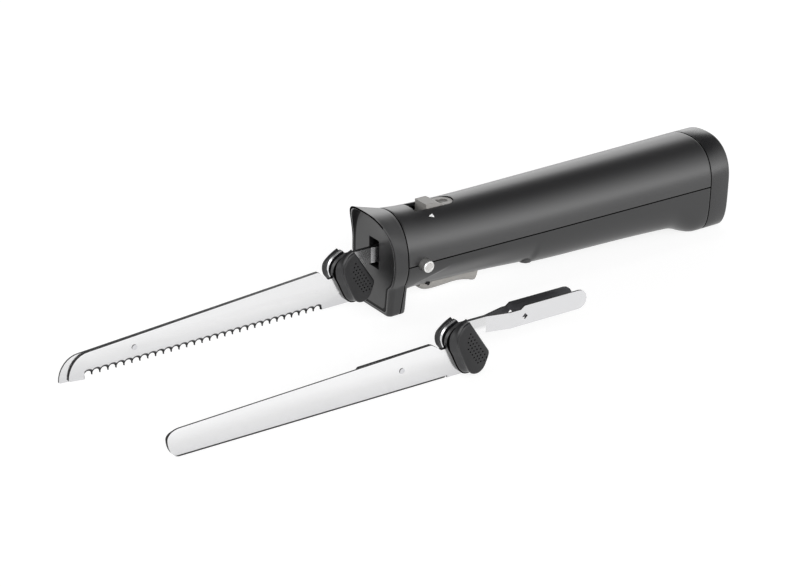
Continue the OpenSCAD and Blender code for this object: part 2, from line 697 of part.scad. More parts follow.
// Release button: cap, flange behind the shell's wall and a plunger through the cheek
button_flange_r = 4.6;
button_flange_t = 1.2;
plunger_r = 1.9;
button_edge = 0.5;
plunger_gap = 0.6;
flange_clear = 1.1;
button_wall_y = half_w(button_x) - wall;
button_flange_y = button_wall_y - flange_clear - button_flange_t;
module release_button() {
  face = half_w(button_x) + button_proud;
  difference() {
    union() {
      rod_y(-face + button_edge, -button_flange_y, button_r, button_x, button_z);
      translate([button_x, -face + button_edge, button_z]) rotate([90, 0, 0])
        cylinder(h = button_edge, r1 = button_r, r2 = button_r - button_edge);
      rod_y(-button_flange_y - button_flange_t, -button_flange_y, button_flange_r, button_x, button_z);
      rod_y(-button_flange_y - hair, -cheek_in - plunger_gap, plunger_r, button_x, button_z);
    }
    rod_y(-face - cut, -face + button_edge / 2, button_r - 2 * button_edge, button_x, button_z);
  }
}
module release_button_left() color("#c8c5c0") release_button();
module release_button_right() color("#c8c5c0") right_side() release_button();

// Drawn at its pressed length, behind the flange it rides on
button_spring_r = 3;
button_spring_wire = 0.4;
button_spring_curls = 2;
module button_spring() {
  y0 = cheek_in + cheek_t + hair + button_travel;
  translate([button_x, -y0, button_z]) rotate([90, 0, 0])
    spring(button_spring_r, button_spring_wire, button_flange_y - hair - y0, button_spring_curls);
}
module button_spring_left() color("#c4c4c6") button_spring();
module button_spring_right() color("#c4c4c6") right_side() button_spring();

// Blades: a side outline crossed with a bent strip
wing_gap = 6;
wing_rear_x = nose_x - wing_gap;
neck_l = 27.2;
neck_x = wing_rear_x - neck_l;
neck_drop = 8.7;
shoulder_l = 7;
shoulder_shares = [[0, 0], [0.42, 0.5], [0.76, 0.84], [1, 1]];
bend_l = 14.4;
bend_end = 11.4;
bend_end_x = nose_x + bend_end;
bend_start_x = bend_end_x - bend_l;
tang_rise = 0.3;
tang_z = axis_h + tang_rise;
tang_low = tang_rise - tang_end_h / 2;
tang_wide_at = 18.8;
tang_wide_x = nose_x + tang_wide_at;
tang_step_l = 2.6;
hole_at = 21.8;
hole_x = nose_x + hole_at;
hole_drop = 0.6;
hole_r = 1.9;
heel_in = 4;
shoulder_in = 13;
shoulder_out = 17;
tip_land_l = 9.6;
tip_land_drop = 1.5;
tip_round_l = 13;
land_end = 0.8;
land_step = 0.5;
tooth_r = 2.13;
rivet_behind = 41;
rivet_drop = 17.3;
rivet_r = 1;
rivet_head_r = 1.6;
rivet_head_t = 0.35;
rivet_play = 1;
rivet_slot = 2 * throw + rivet_play;
arc_steps = 8;

// Strip seen from above, left blade: straight, then bent outwards to the tang
module strip(tip_x) {
  a = blade_gap;
  b = blade_gap + steel_t;
  polygon([[tip_x - cut, -a], [bend_start_x, -a], [bend_end_x, -tang_out + steel_t],
    [tang_end_x + cut, -tang_out + steel_t], [tang_end_x + cut, -tang_out],
    [bend_end_x, -tang_out], [bend_start_x, -b], [tip_x - cut, -b]]);
}
// The tang from the heel round to the neck; lead shortens it
function tang_outline(lead = 0) = [
  [wing_rear_x - heel_in, -edge_drop], [wing_rear_x - heel_in, -edge_drop / 2],
  [wing_rear_x, tang_low],
  [tang_end_x - lead - tang_end_h / 2, tang_low],
  each [for (i = [1:arc_steps - 1]) let (a = -90 + 180 * i / arc_steps)
    [tang_end_x - lead - tang_end_h / 2 * (1 - cos(a)), tang_rise + tang_end_h / 2 * sin(a)]],
  [tang_end_x - lead - tang_end_h / 2, tang_low + tang_end_h],
  [tang_wide_x + tang_step_l - lead, tang_low + tang_end_h],
  [tang_wide_x - lead, tang_low + tang_h],
  [wing_rear_x - shoulder_in, tang_low + tang_h],
  [wing_rear_x - shoulder_out, -neck_drop]];
// Back of a blade from the neck up over the shoulder
function shoulder(root) = [for (s = shoulder_shares)
  [neck_x - shoulder_l * s[0], (root + neck_drop) * s[1] - neck_drop]];

module serrated_outline(tip_x) {
  top = tip_blade_h - edge_drop;
  root = root_blade_h - edge_drop;
  low = -edge_drop - land_step;
  translate([0, axis_h]) difference() {
    polygon(concat([[tip_x + land_end, low], [tooth_x, -edge_drop - tip_land_drop],
        [tooth_x + tooth_pitch / 2 - tooth_r, -edge_drop]],
      tang_outline(), shoulder(root),
      [for (i = [0:arc_steps]) let (a = 90 + 90 * i / arc_steps)
        [tip_x + tip_round_l + tip_round_l * cos(a), -edge_drop + (top + edge_drop) * sin(a)]]));
    for (i = [0:teeth - 1]) translate([gullet_x(i), gullet_z - axis_h]) circle(tooth_r);
    translate([hole_x, tang_rise - hole_drop]) circle(hole_r, $fn = 4);
  }
}
// Gullets between the teeth, and the round hollows ground into the outer face above them
tooth_x = nose_x - blade_reach + tip_land_l;
gullet_z = axis_h - edge_drop + tooth_depth - tooth_r;
grind_r = 2.9;
function gullet_x(i) = tooth_x + tooth_pitch * (i + 0.5);
module gullet_grind() {
  for (i = [0:teeth - 1]) translate([gullet_x(i), -blade_gap - 2 * steel_t, gullet_z]) rotate([-90, 0, 0])
    cylinder(h = 2 * steel_t, r1 = 2 * grind_r - tooth_r, r2 = tooth_r - hair);
}
rivet_x = nose_x - blade_reach + rivet_behind;

module blade_left() color("#d5d7da") difference() {
  intersection() {
    side_plate(-tang_out - cut, cut) serrated_outline(nose_x - blade_reach);
    floor_plate(0, axis_h + tang_h) strip(nose_x - blade_reach);
  }
  rod_y(-tang_out, cut, rivet_r, rivet_x, axis_h - rivet_drop);
  gullet_grind();
}
module blade_right() color("#cfd1d4") right_side() difference() {
  intersection() {
    side_plate(-tang_out - cut, cut) serrated_outline(nose_x - blade_reach - tip_lead);
    floor_plate(0, axis_h + tang_h) strip(nose_x - blade_reach - tip_lead);
  }
  rivet_slot_cut(rivet_x, axis_h - rivet_drop);
  gullet_grind();
}
// Slot in the right blade that lets the rivet travel with the left one
module rivet_slot_cut(x, z) {
  r = rivet_r + fit;
  for (s = [-1, 1]) rod_y(-tang_out, cut, r, x + s * rivet_slot, z);
  slab([x - rivet_slot, -tang_out, z - r], [x + rivet_slot, cut, z + r]);
}
module rivet(x, z) {
  face = blade_gap + steel_t;
  rod_y(-face - rivet_head_t, -face, rivet_head_r, x, z);
  rod_y(-face - rivet_head_t / 2, face + 2 * hair + rivet_head_t, rivet_r - hair / 5, x, z);
  rod_y(face + 2 * hair, face + 2 * hair + rivet_head_t, rivet_head_r, x, z);
}
module blade_rivet() color("#c2c4c7") rivet(rivet_x, axis_h - rivet_drop);

// Blade guard: a flared wing on the outer face of its blade; shares of its length and height
// Each outline starts at the top corner and runs forward, down and back to the rear corner
// Outline at the blade, on the ridge beside the groove, at the outer face, and the right wing's
wing_in_shares = [[0.391, 0.917], [0.249, 0.874], [0.123, 0.82], [0.028, 0.731], [0, 0.623], [0.043, 0.52],
  [0.123, 0.411], [0.202, 0.286], [0.304, 0.137], [0.399, 0.046], [0.51, 0], [0.66, 0], [0.787, 0.074],
  [0.881, 0.189], [0.937, 0.303], [0.945, 0.377], [0.913, 0.437]];
wing_ridge_shares = [[0.47, 0.997], [0.312, 0.943], [0.178, 0.871], [0.079, 0.794], [0.04, 0.674],
  [0.067, 0.537], [0.154, 0.4], [0.233, 0.269], [0.332, 0.131], [0.431, 0.057], [0.541, 0.029],
  [0.676, 0.034], [0.81, 0.103], [0.897, 0.211], [0.953, 0.32], [0.957, 0.383], [0.925, 0.437]];
wing_out_shares = [[0.431, 1], [0.289, 0.946], [0.198, 0.863], [0.15, 0.771], [0.146, 0.649],
  [0.194, 0.526], [0.273, 0.383], [0.364, 0.24], [0.443, 0.131], [0.518, 0.071], [0.625, 0.046],
  [0.739, 0.057], [0.85, 0.12], [0.925, 0.229], [0.976, 0.331], [0.976, 0.389], [0.941, 0.437]];
wing_right_shares = [[0.387, 0.903], [0.241, 0.851], [0.115, 0.789], [0.004, 0.709], [-0.028, 0.617],
  [0.004, 0.5], [0.107, 0.394], [0.202, 0.274], [0.304, 0.149], [0.399, 0.074], [0.51, 0.04],
  [0.66, 0.046], [0.802, 0.109], [0.889, 0.211], [0.945, 0.314], [0.949, 0.38], [0.917, 0.437]];
wing_drop = 26.2;
wing_low = axis_h - wing_drop;
wing_front_x = wing_rear_x - wing_l;
wing_mid_share = 0.45;
wing_mid = [wing_front_x + wing_l / 2, wing_low + wing_h * wing_mid_share];
wing_groove = 1.3;
wing_waist = 0.7;
wing_edge = 0.6;
groove_top_share = 0.5;
groove_fade_share = 0.25;
wing_level_shares = [0.66, 0.37, 0.31, 0.25];
wing_mix_shares = [0.55, 0.6];
// One loop of the wing, y out from the middle plane: two outlines mixed and drawn in
// towards the wing's middle by inset, all over or only along its upper part
function wing_loop(a, b, mix, y, inset = 0, upper = false) =
  [for (i = [0:len(a) - 1])
    let (p = a[i] + (b[i] - a[i]) * mix, at = [wing_front_x + wing_l * p[0], wing_low + wing_h * p[1]],
      draw = inset * (upper ? ramp((p[1] - groove_top_share) / groove_fade_share) : 1),
      q = at + (wing_mid - at) * draw / norm(wing_mid - at))
    [q[0], -y, q[1]]];
module wing(ridge, outer, out) {
  y0 = blade_gap + steel_t;
  ys = [for (s = wing_level_shares) y0 + (out - y0) * s];
  inner = wing_in_shares;
  skin([wing_loop(outer, outer, 0, out, wing_edge), wing_loop(outer, outer, 0, out - wing_edge),
      wing_loop(ridge, outer, wing_mix_shares[0], ys[0], wing_waist), wing_loop(ridge, ridge, 0, ys[1]),
      wing_loop(inner, ridge, wing_mix_shares[1], ys[2], wing_groove, true),
      wing_loop(inner, inner, 0, ys[3]), wing_loop(inner, inner, 0, y0)],
    [wing_mid[0], -out, wing_mid[1]], [wing_mid[0], -y0, wing_mid[1]]);
}
right_wing_out = 8.6;
module left_wing() wing(wing_ridge_shares, wing_out_shares, wing_out);
module right_wing() right_side() wing(wing_in_shares, wing_right_shares, right_wing_out);
module blade_guard_left() color("#3c3d40") left_wing();
module blade_guard_right() color("#3c3d40") right_wing();

// Spare pair: fine-edged blades with a round tip, standing on the table in front of the knife
spare_shift = [12.5, -96, 0];
spare_turn = -1.5;
spare_tip_x = wing_rear_x - spare_reach;
spare_tip_h = 16.8;
spare_root_h = 22.9;
spare_round_l = 7.6;
spare_round_up = 5.6;
spare_bevel_h = 1.3;
spare_bevel_t = 0.6;
spare_mid_at = 125;
spare_mid_h = 20.2;
spare_step_at = 87;
spare_step_h = 1.2;
spare_lead = 4.5;
spare_edge_in = 24;
spare_edge_end = wing_rear_x - spare_edge_in;
spare_rivet_in = 53.2;
spare_rivet_x = wing_rear_x - spare_rivet_in;
spare_rivet_drop = 14.6;
module spare_place() {
  translate([wing_rear_x, 0, 0] + spare_shift) rotate([0, 0, spare_turn])
    translate([-wing_rear_x, 0, -(axis_h - edge_drop)]) children();
}
// Side outline; step lowers the front of the back, lead shortens the tang
module spare_outline(step, lead) {
  top = spare_tip_h - edge_drop;
  root = spare_root_h - edge_drop;
  mid = top - spare_round_up;
  mid_x = nose_x - spare_mid_at;
  mid_z = spare_mid_h - edge_drop;
  step_x = nose_x - spare_step_at;
  step_z = mid_z + (root - mid_z) * (step_x - mid_x) / (neck_x - shoulder_l - mid_x);
  tip_end = spare_tip_x + spare_round_l;
  notch_x = spare_edge_end + spare_bevel_h;
  translate([0, axis_h]) difference() {
    polygon(concat([[spare_edge_end, -edge_drop], [spare_edge_end, spare_bevel_h - edge_drop],
        [notch_x, spare_bevel_h - edge_drop], [notch_x, -edge_drop]],
      tang_outline(lead), shoulder(root), step > 0 ? [[step_x, step_z], [step_x - step, step_z - step]] : [],
      [[mid_x, mid_z - step]],
      [for (i = [0:arc_steps]) let (a = 90 + 90 * i / arc_steps)
        [tip_end + spare_round_l * cos(a), mid + (spare_round_up - step) * sin(a)]],
      [for (i = [1:arc_steps]) let (a = 180 + 90 * i / arc_steps)
        [tip_end + spare_round_l * cos(a), mid + (mid + edge_drop) * sin(a)]]));
    translate([hole_x - lead, tang_rise - hole_drop]) circle(hole_r, $fn = 4);
  }
}
module spare_blade(step, lead) difference() {
  intersection() {
    side_plate(-tang_out - cut, cut) spare_outline(step, lead);
    floor_plate(0, axis_h + tang_h) strip(spare_tip_x);
  }
  edge_bevel();
}
// Bevel ground along the lower edge, up to the notch
module edge_bevel() {
  face = blade_gap + steel_t;
  translate([spare_tip_x, 0, axis_h - edge_drop]) rotate([90, 0, 90])
    linear_extrude(spare_edge_end - spare_tip_x) polygon([[-face + spare_bevel_t, -cut], [-face + spare_bevel_t, 0], [-face, spare_bevel_h],
      [-face - cut, spare_bevel_h], [-face - cut, -cut]]);
}
module spare_blade_left() color("#d5d7da") spare_place() difference() {
  spare_blade(0, 0);
  rod_y(-tang_out, cut, rivet_r, spare_rivet_x, axis_h - spare_rivet_drop);
}
module spare_blade_right() color("#cfd1d4") spare_place() right_side() difference() {
  spare_blade(spare_step_h, spare_lead);
  rivet_slot_cut(spare_rivet_x, axis_h - spare_rivet_drop);
}
module spare_guard_left() color("#3c3d40") spare_place() left_wing();
module spare_guard_right() color("#3c3d40") spare_place() right_wing();
module spare_rivet() color("#c2c4c7") spare_place() rivet(spare_rivet_x, axis_h - spare_rivet_drop);

// Drive slide: tang socket in front, open yoke round the eccentric behind
slide_in = 1.3;
slide_out = ecc_end;
slide_at = 12;
slide_x0 = nose_x + slide_at;
slide_x1 = tang_end_x + hair;
slide_low = web_top + fit;
slide_rise = 9.2;
slide_top = axis_h + slide_rise;
pocket_gap = 0.4;
tail_in = 5.3;
yoke_low = 1.2;
prong_w = 3.8;
prong_rise = 4;
prong_top = wheel_z + prong_rise;
groove_in = 7;
groove_at = 14;
groove_l = 24;
groove_x0 = nose_x + groove_at;
groove_x1 = groove_x0 + groove_l;
groove_half = 5.6;
groove_drop = 1.2;
groove_z = axis_h - groove_drop;
yoke_half = ecc_r + yoke_play;
module drive_slide() {
  difference() {
    union() {
      slab([slide_x0, -slide_out, slide_low], [slide_x1, -slide_in, slide_top]);
      side_plate(-slide_out, -tail_in) polygon([
        [slide_x1 - cut, slide_low],
        [wheel_x + yoke_half + prong_w, slide_low],
        [wheel_x + yoke_half + prong_w, prong_top],
        [wheel_x + yoke_half, prong_top],
        [wheel_x + yoke_half, axis_h - yoke_low],
        [wheel_x - yoke_half, axis_h - yoke_low],
        [wheel_x - yoke_half, prong_top],
        [wheel_x - yoke_half - prong_w, prong_top],
        [slide_x1 - cut, slide_top]]);
    }
    slab([slide_x0 - cut, -tang_out - pocket_gap, tang_z - tang_end_h / 2 - pocket_gap],
      [slide_x1 + cut, -tang_out + steel_t + pocket_gap, tang_z + tang_end_h / 2 + pocket_gap]);
    slab([groove_x0, -slide_out - cut, groove_z - groove_half], [groove_x1, -groove_in, groove_z + groove_half]);
    rod_y(-slide_out, -tang_out, catch_pin_r + fit, hole_x, tang_z - hole_drop);
  }
}
module drive_slide_left() color("#e6e2d6") drive_slide();
module drive_slide_right() color("#e6e2d6") right_side() drive_slide();

// Spring catch in the side of a slide, its pin facing the hole of the tang
catch_t = 0.5;
catch_pin_r = 1.1;
catch_lift = 0.2;
catch_rivet_r = 1.2;
module blade_catch() {
  y0 = groove_in + catch_lift;
  slab([groove_x0 + cut, -y0 - catch_t, groove_z - groove_half + pocket_gap],
    [groove_x1 - cut, -y0, groove_z + groove_half - pocket_gap]);
  rod_y(-y0 - catch_t / 2, -tang_out - fit, catch_pin_r, hole_x, tang_z - hole_drop);
  rod_y(-y0 - catch_t - hair, -groove_in, catch_rivet_r, groove_x1 - 3 * cut, groove_z);
}
module blade_catch_left() color("#c4c4c6") blade_catch();
module blade_catch_right() color("#c4c4c6") right_side() blade_catch();

module gear_frame() color("#8f8f8a") {
  w = cheek_in + cheek_t;
  difference() {
    union() {
      slab([frame_x0, -web_w / 2, web_top - web_t], [frame_x1, web_w / 2, web_top]);
      for (side = [-1, 1]) {
        y0 = min(side * cheek_in, side * w);
        side_plate(y0, y0 + cheek_t) polygon([
          [frame_x0, web_top - web_t / 2],
          [frame_x1, web_top - web_t / 2],
          [frame_x1, wheel_z],
          [wheel_x + 2 * axle_r, wheel_z + 2 * axle_r],
          [wheel_x - 2 * axle_r, wheel_z + 2 * axle_r],
          [wheel_x - wheel_r - 2 * axle_r, cheek_top],
          [frame_x0, cheek_top]]);
      }
      slab([frame_x1 - bulkhead_t, -w, web_top - web_t / 2], [frame_x1, w, wheel_z]);
      slab([bearing_post_x - post_t, -slide_in - post_t, web_top - web_t / 2],
        [bearing_post_x, slide_in + post_t, worm_z + shaft_r + post_t]);
    }
    slab([bearing_post_x, -tail_in, web_top - web_t - cut], [wheel_x + worm_l / 2 + cut, tail_in, web_top + cut]);
    rod_y(-w - cut, w + cut, axle_r + shaft_fit, wheel_x, wheel_z);
    rod_y(-w - cut, w + cut, plunger_r + fit, button_x, button_z);
    rod_x(bearing_post_x - post_t - cut, bearing_post_x + cut, bush_r + shaft_fit, 0, worm_z);
    rod_x(frame_x1 - bulkhead_t - cut, frame_x1 + cut, boss_bore_r, 0, worm_z);
  }
}

// Worm wheel with its two eccentrics, opposed top and bottom at mid stroke
module worm_wheel() color("#efe9d2") {
  root = wheel_r - tooth_dedendum;
  tooth_sink = tooth_dedendum + 5 * hair;
  pitch_half = gear_pitch * 0.2;
  tip_half = gear_pitch * 0.09;
  root_half = gear_pitch * 0.3;
  difference() {
    translate([wheel_x, 0, wheel_z]) union() {
      rod_y(-wheel_w / 2, wheel_w / 2, root);
      for (i = [0:wheel_teeth - 1]) rotate([0, i * 360 / wheel_teeth, 0])
        translate([0, 0, -wheel_r]) rotate([0, 0, lead_angle]) side_plate(-wheel_w / 2, wheel_w / 2)
          polygon([[-root_half, tooth_sink], [-pitch_half, 0], [-tip_half, -tooth_addendum],
            [tip_half, -tooth_addendum], [pitch_half, 0], [root_half, tooth_sink]]);
      rod_y(-ecc_end, -wheel_w / 2 + hair, ecc_r, 0, throw);
      rod_y(wheel_w / 2 - hair, ecc_end, ecc_r, 0, -throw);
    }
    rod_y(-body_w, body_w, axle_r + shaft_fit, wheel_x, wheel_z);
  }
}
module wheel_axle() color("#c9c9cb")
  rod_y(-cheek_in - cheek_t, cheek_in + cheek_t, axle_r, wheel_x, wheel_z);

// Worm: radius as a function of the place along the thread
worm_rings = 42;
worm_sides = 16;
worm_tip_share = 0.2;
worm_root_share = 0.32;
function thread_height(u) =
  let (v = abs(u - floor(u) - 0.5) * 2,
    t = (v - worm_root_share) / (1 - worm_tip_share - worm_root_share))
  min(max(t, 0), 1);
module worm() color("#a9a9a4") {
  root = worm_r - tooth_dedendum;
  tip = worm_r + tooth_addendum;
  loops = [for (i = [0:worm_rings]) let (x = worm_l * (i / worm_rings - 0.5),
      end = min(ramp(i / 2), ramp((worm_rings - i) / 2)))
    [for (j = [worm_sides - 1:-1:0]) let (a = 360 * j / worm_sides,
        u = (x - worm_lead * (a - 90) / 360) / gear_pitch + 0.5,
        r = root + (tip - root) * thread_height(u) * end)
      [wheel_x + x, r * cos(a), worm_z + r * sin(a)]]];
  difference() {
    skin(loops, [wheel_x - worm_l / 2, 0, worm_z], [wheel_x + worm_l / 2, 0, worm_z]);
    rod_x(wheel_x - worm_l, wheel_x + worm_l, shaft_r + shaft_fit / 2, 0, worm_z);
  }
}

post_t = 3;
bearing_post_x = wheel_x - worm_l / 2 - hair * 4;
bush_r = 2.6;
module worm_bush() color("#b08d57") difference() {
  rod_x(bearing_post_x - post_t, bearing_post_x, bush_r, 0, worm_z);
  rod_x(bearing_post_x - post_t - cut, bearing_post_x + cut, shaft_r + shaft_fit, 0, worm_z);
}

// Motor
shaft_x0 = bearing_post_x - post_t;
shaft_x1 = can_x + can_l + brush_cap_l - can_t;
stack_at = 10;
stack_x0 = can_x + stack_at;
stack_rest = 21;
stack_l = can_l - stack_rest;
stack_r = 12.4;
magnet_in_r = 13;
magnet_at = 3.2;
magnet_x = can_x + magnet_at;
magnet_rest = 16;
magnet_l = can_l - magnet_rest;
end_turn_l = 4.5;
end_turn_r = 9.6;
poles = 5;
module rotor_shaft() color("#c9c9cb") rod_x(shaft_x0, shaft_x1, shaft_r, 0, worm_z);

module armature() color("#a0654a") difference() {
  union() {
    rod_x(stack_x0, stack_x0 + stack_l, stack_r, 0, worm_z);
    rod_x(stack_x0 - end_turn_l, stack_x0 + stack_l + end_turn_l, end_turn_r, 0, worm_z);
  }
  rod_x(stack_x0 - stack_l, stack_x0 + 2 * stack_l, shaft_r + shaft_fit / 2, 0, worm_z);
  for (i = [0:poles - 1]) translate([0, 0, worm_z]) rotate([360 * i / poles, 0, 0])
    slab([stack_x0 - cut, -shaft_r / 2, end_turn_r + hair], [stack_x0 + stack_l + cut, shaft_r / 2, stack_r + cut]);
}

commutator_r = 4.4;
commutator_l = 8;
commutator_x = stack_x0 + stack_l + end_turn_l + hair;
module commutator() color("#b87333") difference() {
  rod_x(commutator_x, commutator_x + commutator_l, commutator_r, 0, worm_z);
  rod_x(commutator_x - cut, commutator_x + commutator_l + cut, shaft_r + shaft_fit / 2, 0, worm_z);
  for (i = [0:poles - 1]) translate([0, 0, worm_z]) rotate([360 * (i + 0.5) / poles, 0, 0])
    slab([commutator_x - cut, -hair * 2, commutator_r - 4 * hair],
      [commutator_x + commutator_l + cut, hair * 2, commutator_r + cut]);
}

fan_r = 14.2;
fan_hub_r = 4;
fan_blades = 9;
fan_blade_t = 1.1;
fan_disc_t = 1.2;
module cooling_fan() color("#d8d4c8") difference() {
  union() {
    rod_x(fan_x, fan_x + fan_l, fan_hub_r, 0, worm_z);
    rod_x(fan_x + fan_l - fan_disc_t, fan_x + fan_l, fan_r, 0, worm_z);
    for (i = [0:fan_blades - 1]) translate([0, 0, worm_z]) rotate([360 * i / fan_blades, 0, 0])
      slab([fan_x, -fan_blade_t / 2, fan_hub_r - fan_blade_t], [fan_x + fan_l - fan_disc_t / 2, fan_blade_t / 2, fan_r - fan_blade_t]);
  }
  rod_x(fan_x - cut, fan_x + fan_l + cut, shaft_r + shaft_fit / 2, 0, worm_z);
}

motor_boss_r = 5;
motor_boss_l = 2;
vent_r = 1.8;
vents = 6;
vent_ring_r = 9.6;
module motor_can() color("#9a9ca0") difference() {
  union() {
    rod_x(can_x, can_x + can_l, motor_r, 0, worm_z);
    rod_x(can_x - motor_boss_l, can_x + can_t, motor_boss_r, 0, worm_z);
  }
  rod_x(can_x + can_t, can_x + can_l + cut, motor_r - can_t, 0, worm_z);
  rod_x(can_x - motor_boss_l - cut, can_x + 2 * can_t, bush_r + shaft_fit, 0, worm_z);
  for (i = [0:vents - 1]) translate([0, 0, worm_z]) rotate([360 * i / vents, 0, 0])
    rod_x(can_x - cut, can_x + can_t + cut, vent_r, 0, vent_ring_r);
}
module front_bush() color("#b08d57") difference() {
  rod_x(can_x - motor_boss_l, can_x + can_t, bush_r, 0, worm_z);
  rod_x(can_x - motor_boss_l - cut, can_x + can_t + cut, shaft_r + shaft_fit, 0, worm_z);
}

magnet_gap_w = 9;
module field_magnets() color("#4a4a4e") difference() {
  rod_x(magnet_x, magnet_x + magnet_l, motor_r - can_t - hair / 2, 0, worm_z);
  rod_x(magnet_x - cut, magnet_x + magnet_l + cut, magnet_in_r, 0, worm_z);
  slab([can_x, -motor_r, worm_z - magnet_gap_w / 2], [can_x + can_l, motor_r, worm_z + magnet_gap_w / 2]);
}

cap_wall_t = 2;
brush_cap_step = 3;
module brush_cap() color("#6b3a2a") {
  x0 = can_x + can_l;
  x1 = x0 + brush_cap_l;
  difference() {
    union() {
      rod_x(x0, x1 - brush_cap_step, motor_r, 0, worm_z);
      rod_x(x1 - brush_cap_step - hair, x1, motor_boss_r, 0, worm_z);
    }
    rod_x(x0 - cut, x1 - brush_cap_step - cap_wall_t, motor_r - cap_wall_t, 0, worm_z);
    rod_x(x0, x1 + cut, bush_r + shaft_fit, 0, worm_z);
    slab([brush_x - brush_w / 2 - hair, -motor_r - cut, worm_z - brush_w / 2 - hair],
      [brush_x + brush_w / 2 + hair, motor_r + cut, worm_z + brush_w / 2 + hair]);
  }
}
module rear_bush() color("#b08d57") {
  x1 = can_x + can_l + brush_cap_l;
  difference() {
    rod_x(x1 - brush_cap_step - cap_wall_t, x1, bush_r, 0, worm_z);
    rod_x(x1 - brush_cap_l, x1 + cut, shaft_r + shaft_fit, 0, worm_z);
  }
}

brush_w = 4;
brush_at = 3.2;
brush_x = can_x + can_l + brush_at;
module brushes() color("#2c2c2e") for (side = [-1, 1]) {
  y0 = side * (commutator_r + hair);
  y1 = side * (motor_r - cap_wall_t / 2);
  slab([brush_x - brush_w / 2, min(y0, y1), worm_z - brush_w / 2], [brush_x + brush_w / 2, max(y0, y1), worm_z + brush_w / 2]);
}

// Rectifier board on four posts behind the motor
board_before_cap = 36;
board_x = cap_x - board_before_cap;
board_l = 28;
board_w = 14.6;
board_t = 1.6;
board_drop = 18;
board_z = axis_h - board_drop;
board_post_shares = [0.11, 0.89];
board_post_xs = [for (share = board_post_shares) board_x + board_l * share];
board_post_y = 4.6;
diode_w = 7;
diode_h = 8;
cap_can_r = 5.5;
cap_can_h = 11;
module rectifier_board() color("#2f6b3c") {
  slab([board_x, -board_w / 2, board_z], [board_x + board_l, board_w / 2, board_z + board_t]);
  slab([board_x + board_l - diode_w - diode_w / 2, -diode_w, board_z + board_t - hair],
    [board_x + board_l - diode_w / 2, 0, board_z + board_t + diode_h]);
  rod_z(board_z + board_t - hair, board_z + board_t + cap_can_h, cap_can_r, board_x + cap_can_r + hair, cap_can_r / 4);
}

// Micro switch under the web, its plunger above the trigger
switch_at = 41;
switch_x = nose_x + switch_at;
switch_l = 19.8;
switch_w = 6.4;
switch_h = 10.2;
switch_plunger_at = 54;
switch_plunger_x = nose_x + switch_plunger_at;
switch_plunger_r = 1;
switch_plunger_l = 1.4;
module micro_switch() color("#2b2b2d") {
  z1 = web_top - web_t;
  slab([switch_x, -switch_w / 2, z1 - switch_h], [switch_x + switch_l, switch_w / 2, z1]);
  rod_z(z1 - switch_h - switch_plunger_l, z1 - switch_h + hair, switch_plunger_r, switch_plunger_x, 0);
}

front_collar();
upper_shell();
lower_shell();
rear_cap();
inlet_bushing();
housing_screws();
safety_slider();
trigger();
trigger_pin();
trigger_spring();
release_button_left();
release_button_right();
button_spring_left();
button_spring_right();
blade_left();
blade_right();
blade_guard_left();
blade_guard_right();
blade_rivet();
spare_blade_left();
spare_blade_right();
spare_guard_left();
spare_guard_right();
spare_rivet();
gear_frame();
drive_slide_left();
drive_slide_right();
blade_catch_left();
blade_catch_right();
worm_wheel();
wheel_axle();
worm();
worm_bush();
rotor_shaft();
armature();
commutator();
cooling_fan();
motor_can();
field_magnets();
front_bush();
rear_bush();
brush_cap();
brushes();
rectifier_board();
micro_switch();
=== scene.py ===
"""Looks of the electric carving knife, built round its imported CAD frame.

Lengths are millimetres in the row frame until a mesh is made, which turns them into metres.
The housing repeats the outline formulas of the CAD source on a finer grid, so its smooth
skins lie on the CAD solids. Every finish is a procedural material.
"""

import json
import math

import bmesh
import bpy
import numpy as np
from mathutils import Matrix, Vector


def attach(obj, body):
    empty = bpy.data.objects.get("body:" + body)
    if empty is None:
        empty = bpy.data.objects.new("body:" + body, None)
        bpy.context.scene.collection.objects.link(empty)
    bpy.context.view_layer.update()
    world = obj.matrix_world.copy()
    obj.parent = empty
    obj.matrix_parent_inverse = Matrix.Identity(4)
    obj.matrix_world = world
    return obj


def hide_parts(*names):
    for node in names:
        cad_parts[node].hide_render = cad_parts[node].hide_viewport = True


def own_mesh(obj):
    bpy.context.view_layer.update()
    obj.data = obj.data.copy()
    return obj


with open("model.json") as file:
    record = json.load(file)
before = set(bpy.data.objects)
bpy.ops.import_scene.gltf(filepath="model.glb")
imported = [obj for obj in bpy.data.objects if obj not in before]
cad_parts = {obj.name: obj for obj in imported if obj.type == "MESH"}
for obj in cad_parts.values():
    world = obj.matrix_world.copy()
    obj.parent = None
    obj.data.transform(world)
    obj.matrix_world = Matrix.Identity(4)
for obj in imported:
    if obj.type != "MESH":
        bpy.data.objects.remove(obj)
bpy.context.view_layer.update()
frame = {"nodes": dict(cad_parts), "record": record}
NODES = frame["nodes"]
RECORD = frame["record"]
SLOTS = {s["node"]: s["material_slot"] for s in RECORD["subparts"]}
BODY_OF = {n: b for b, ns in RECORD["behaviour"]["bodies"].items() for n in ns}
MM = 0.001

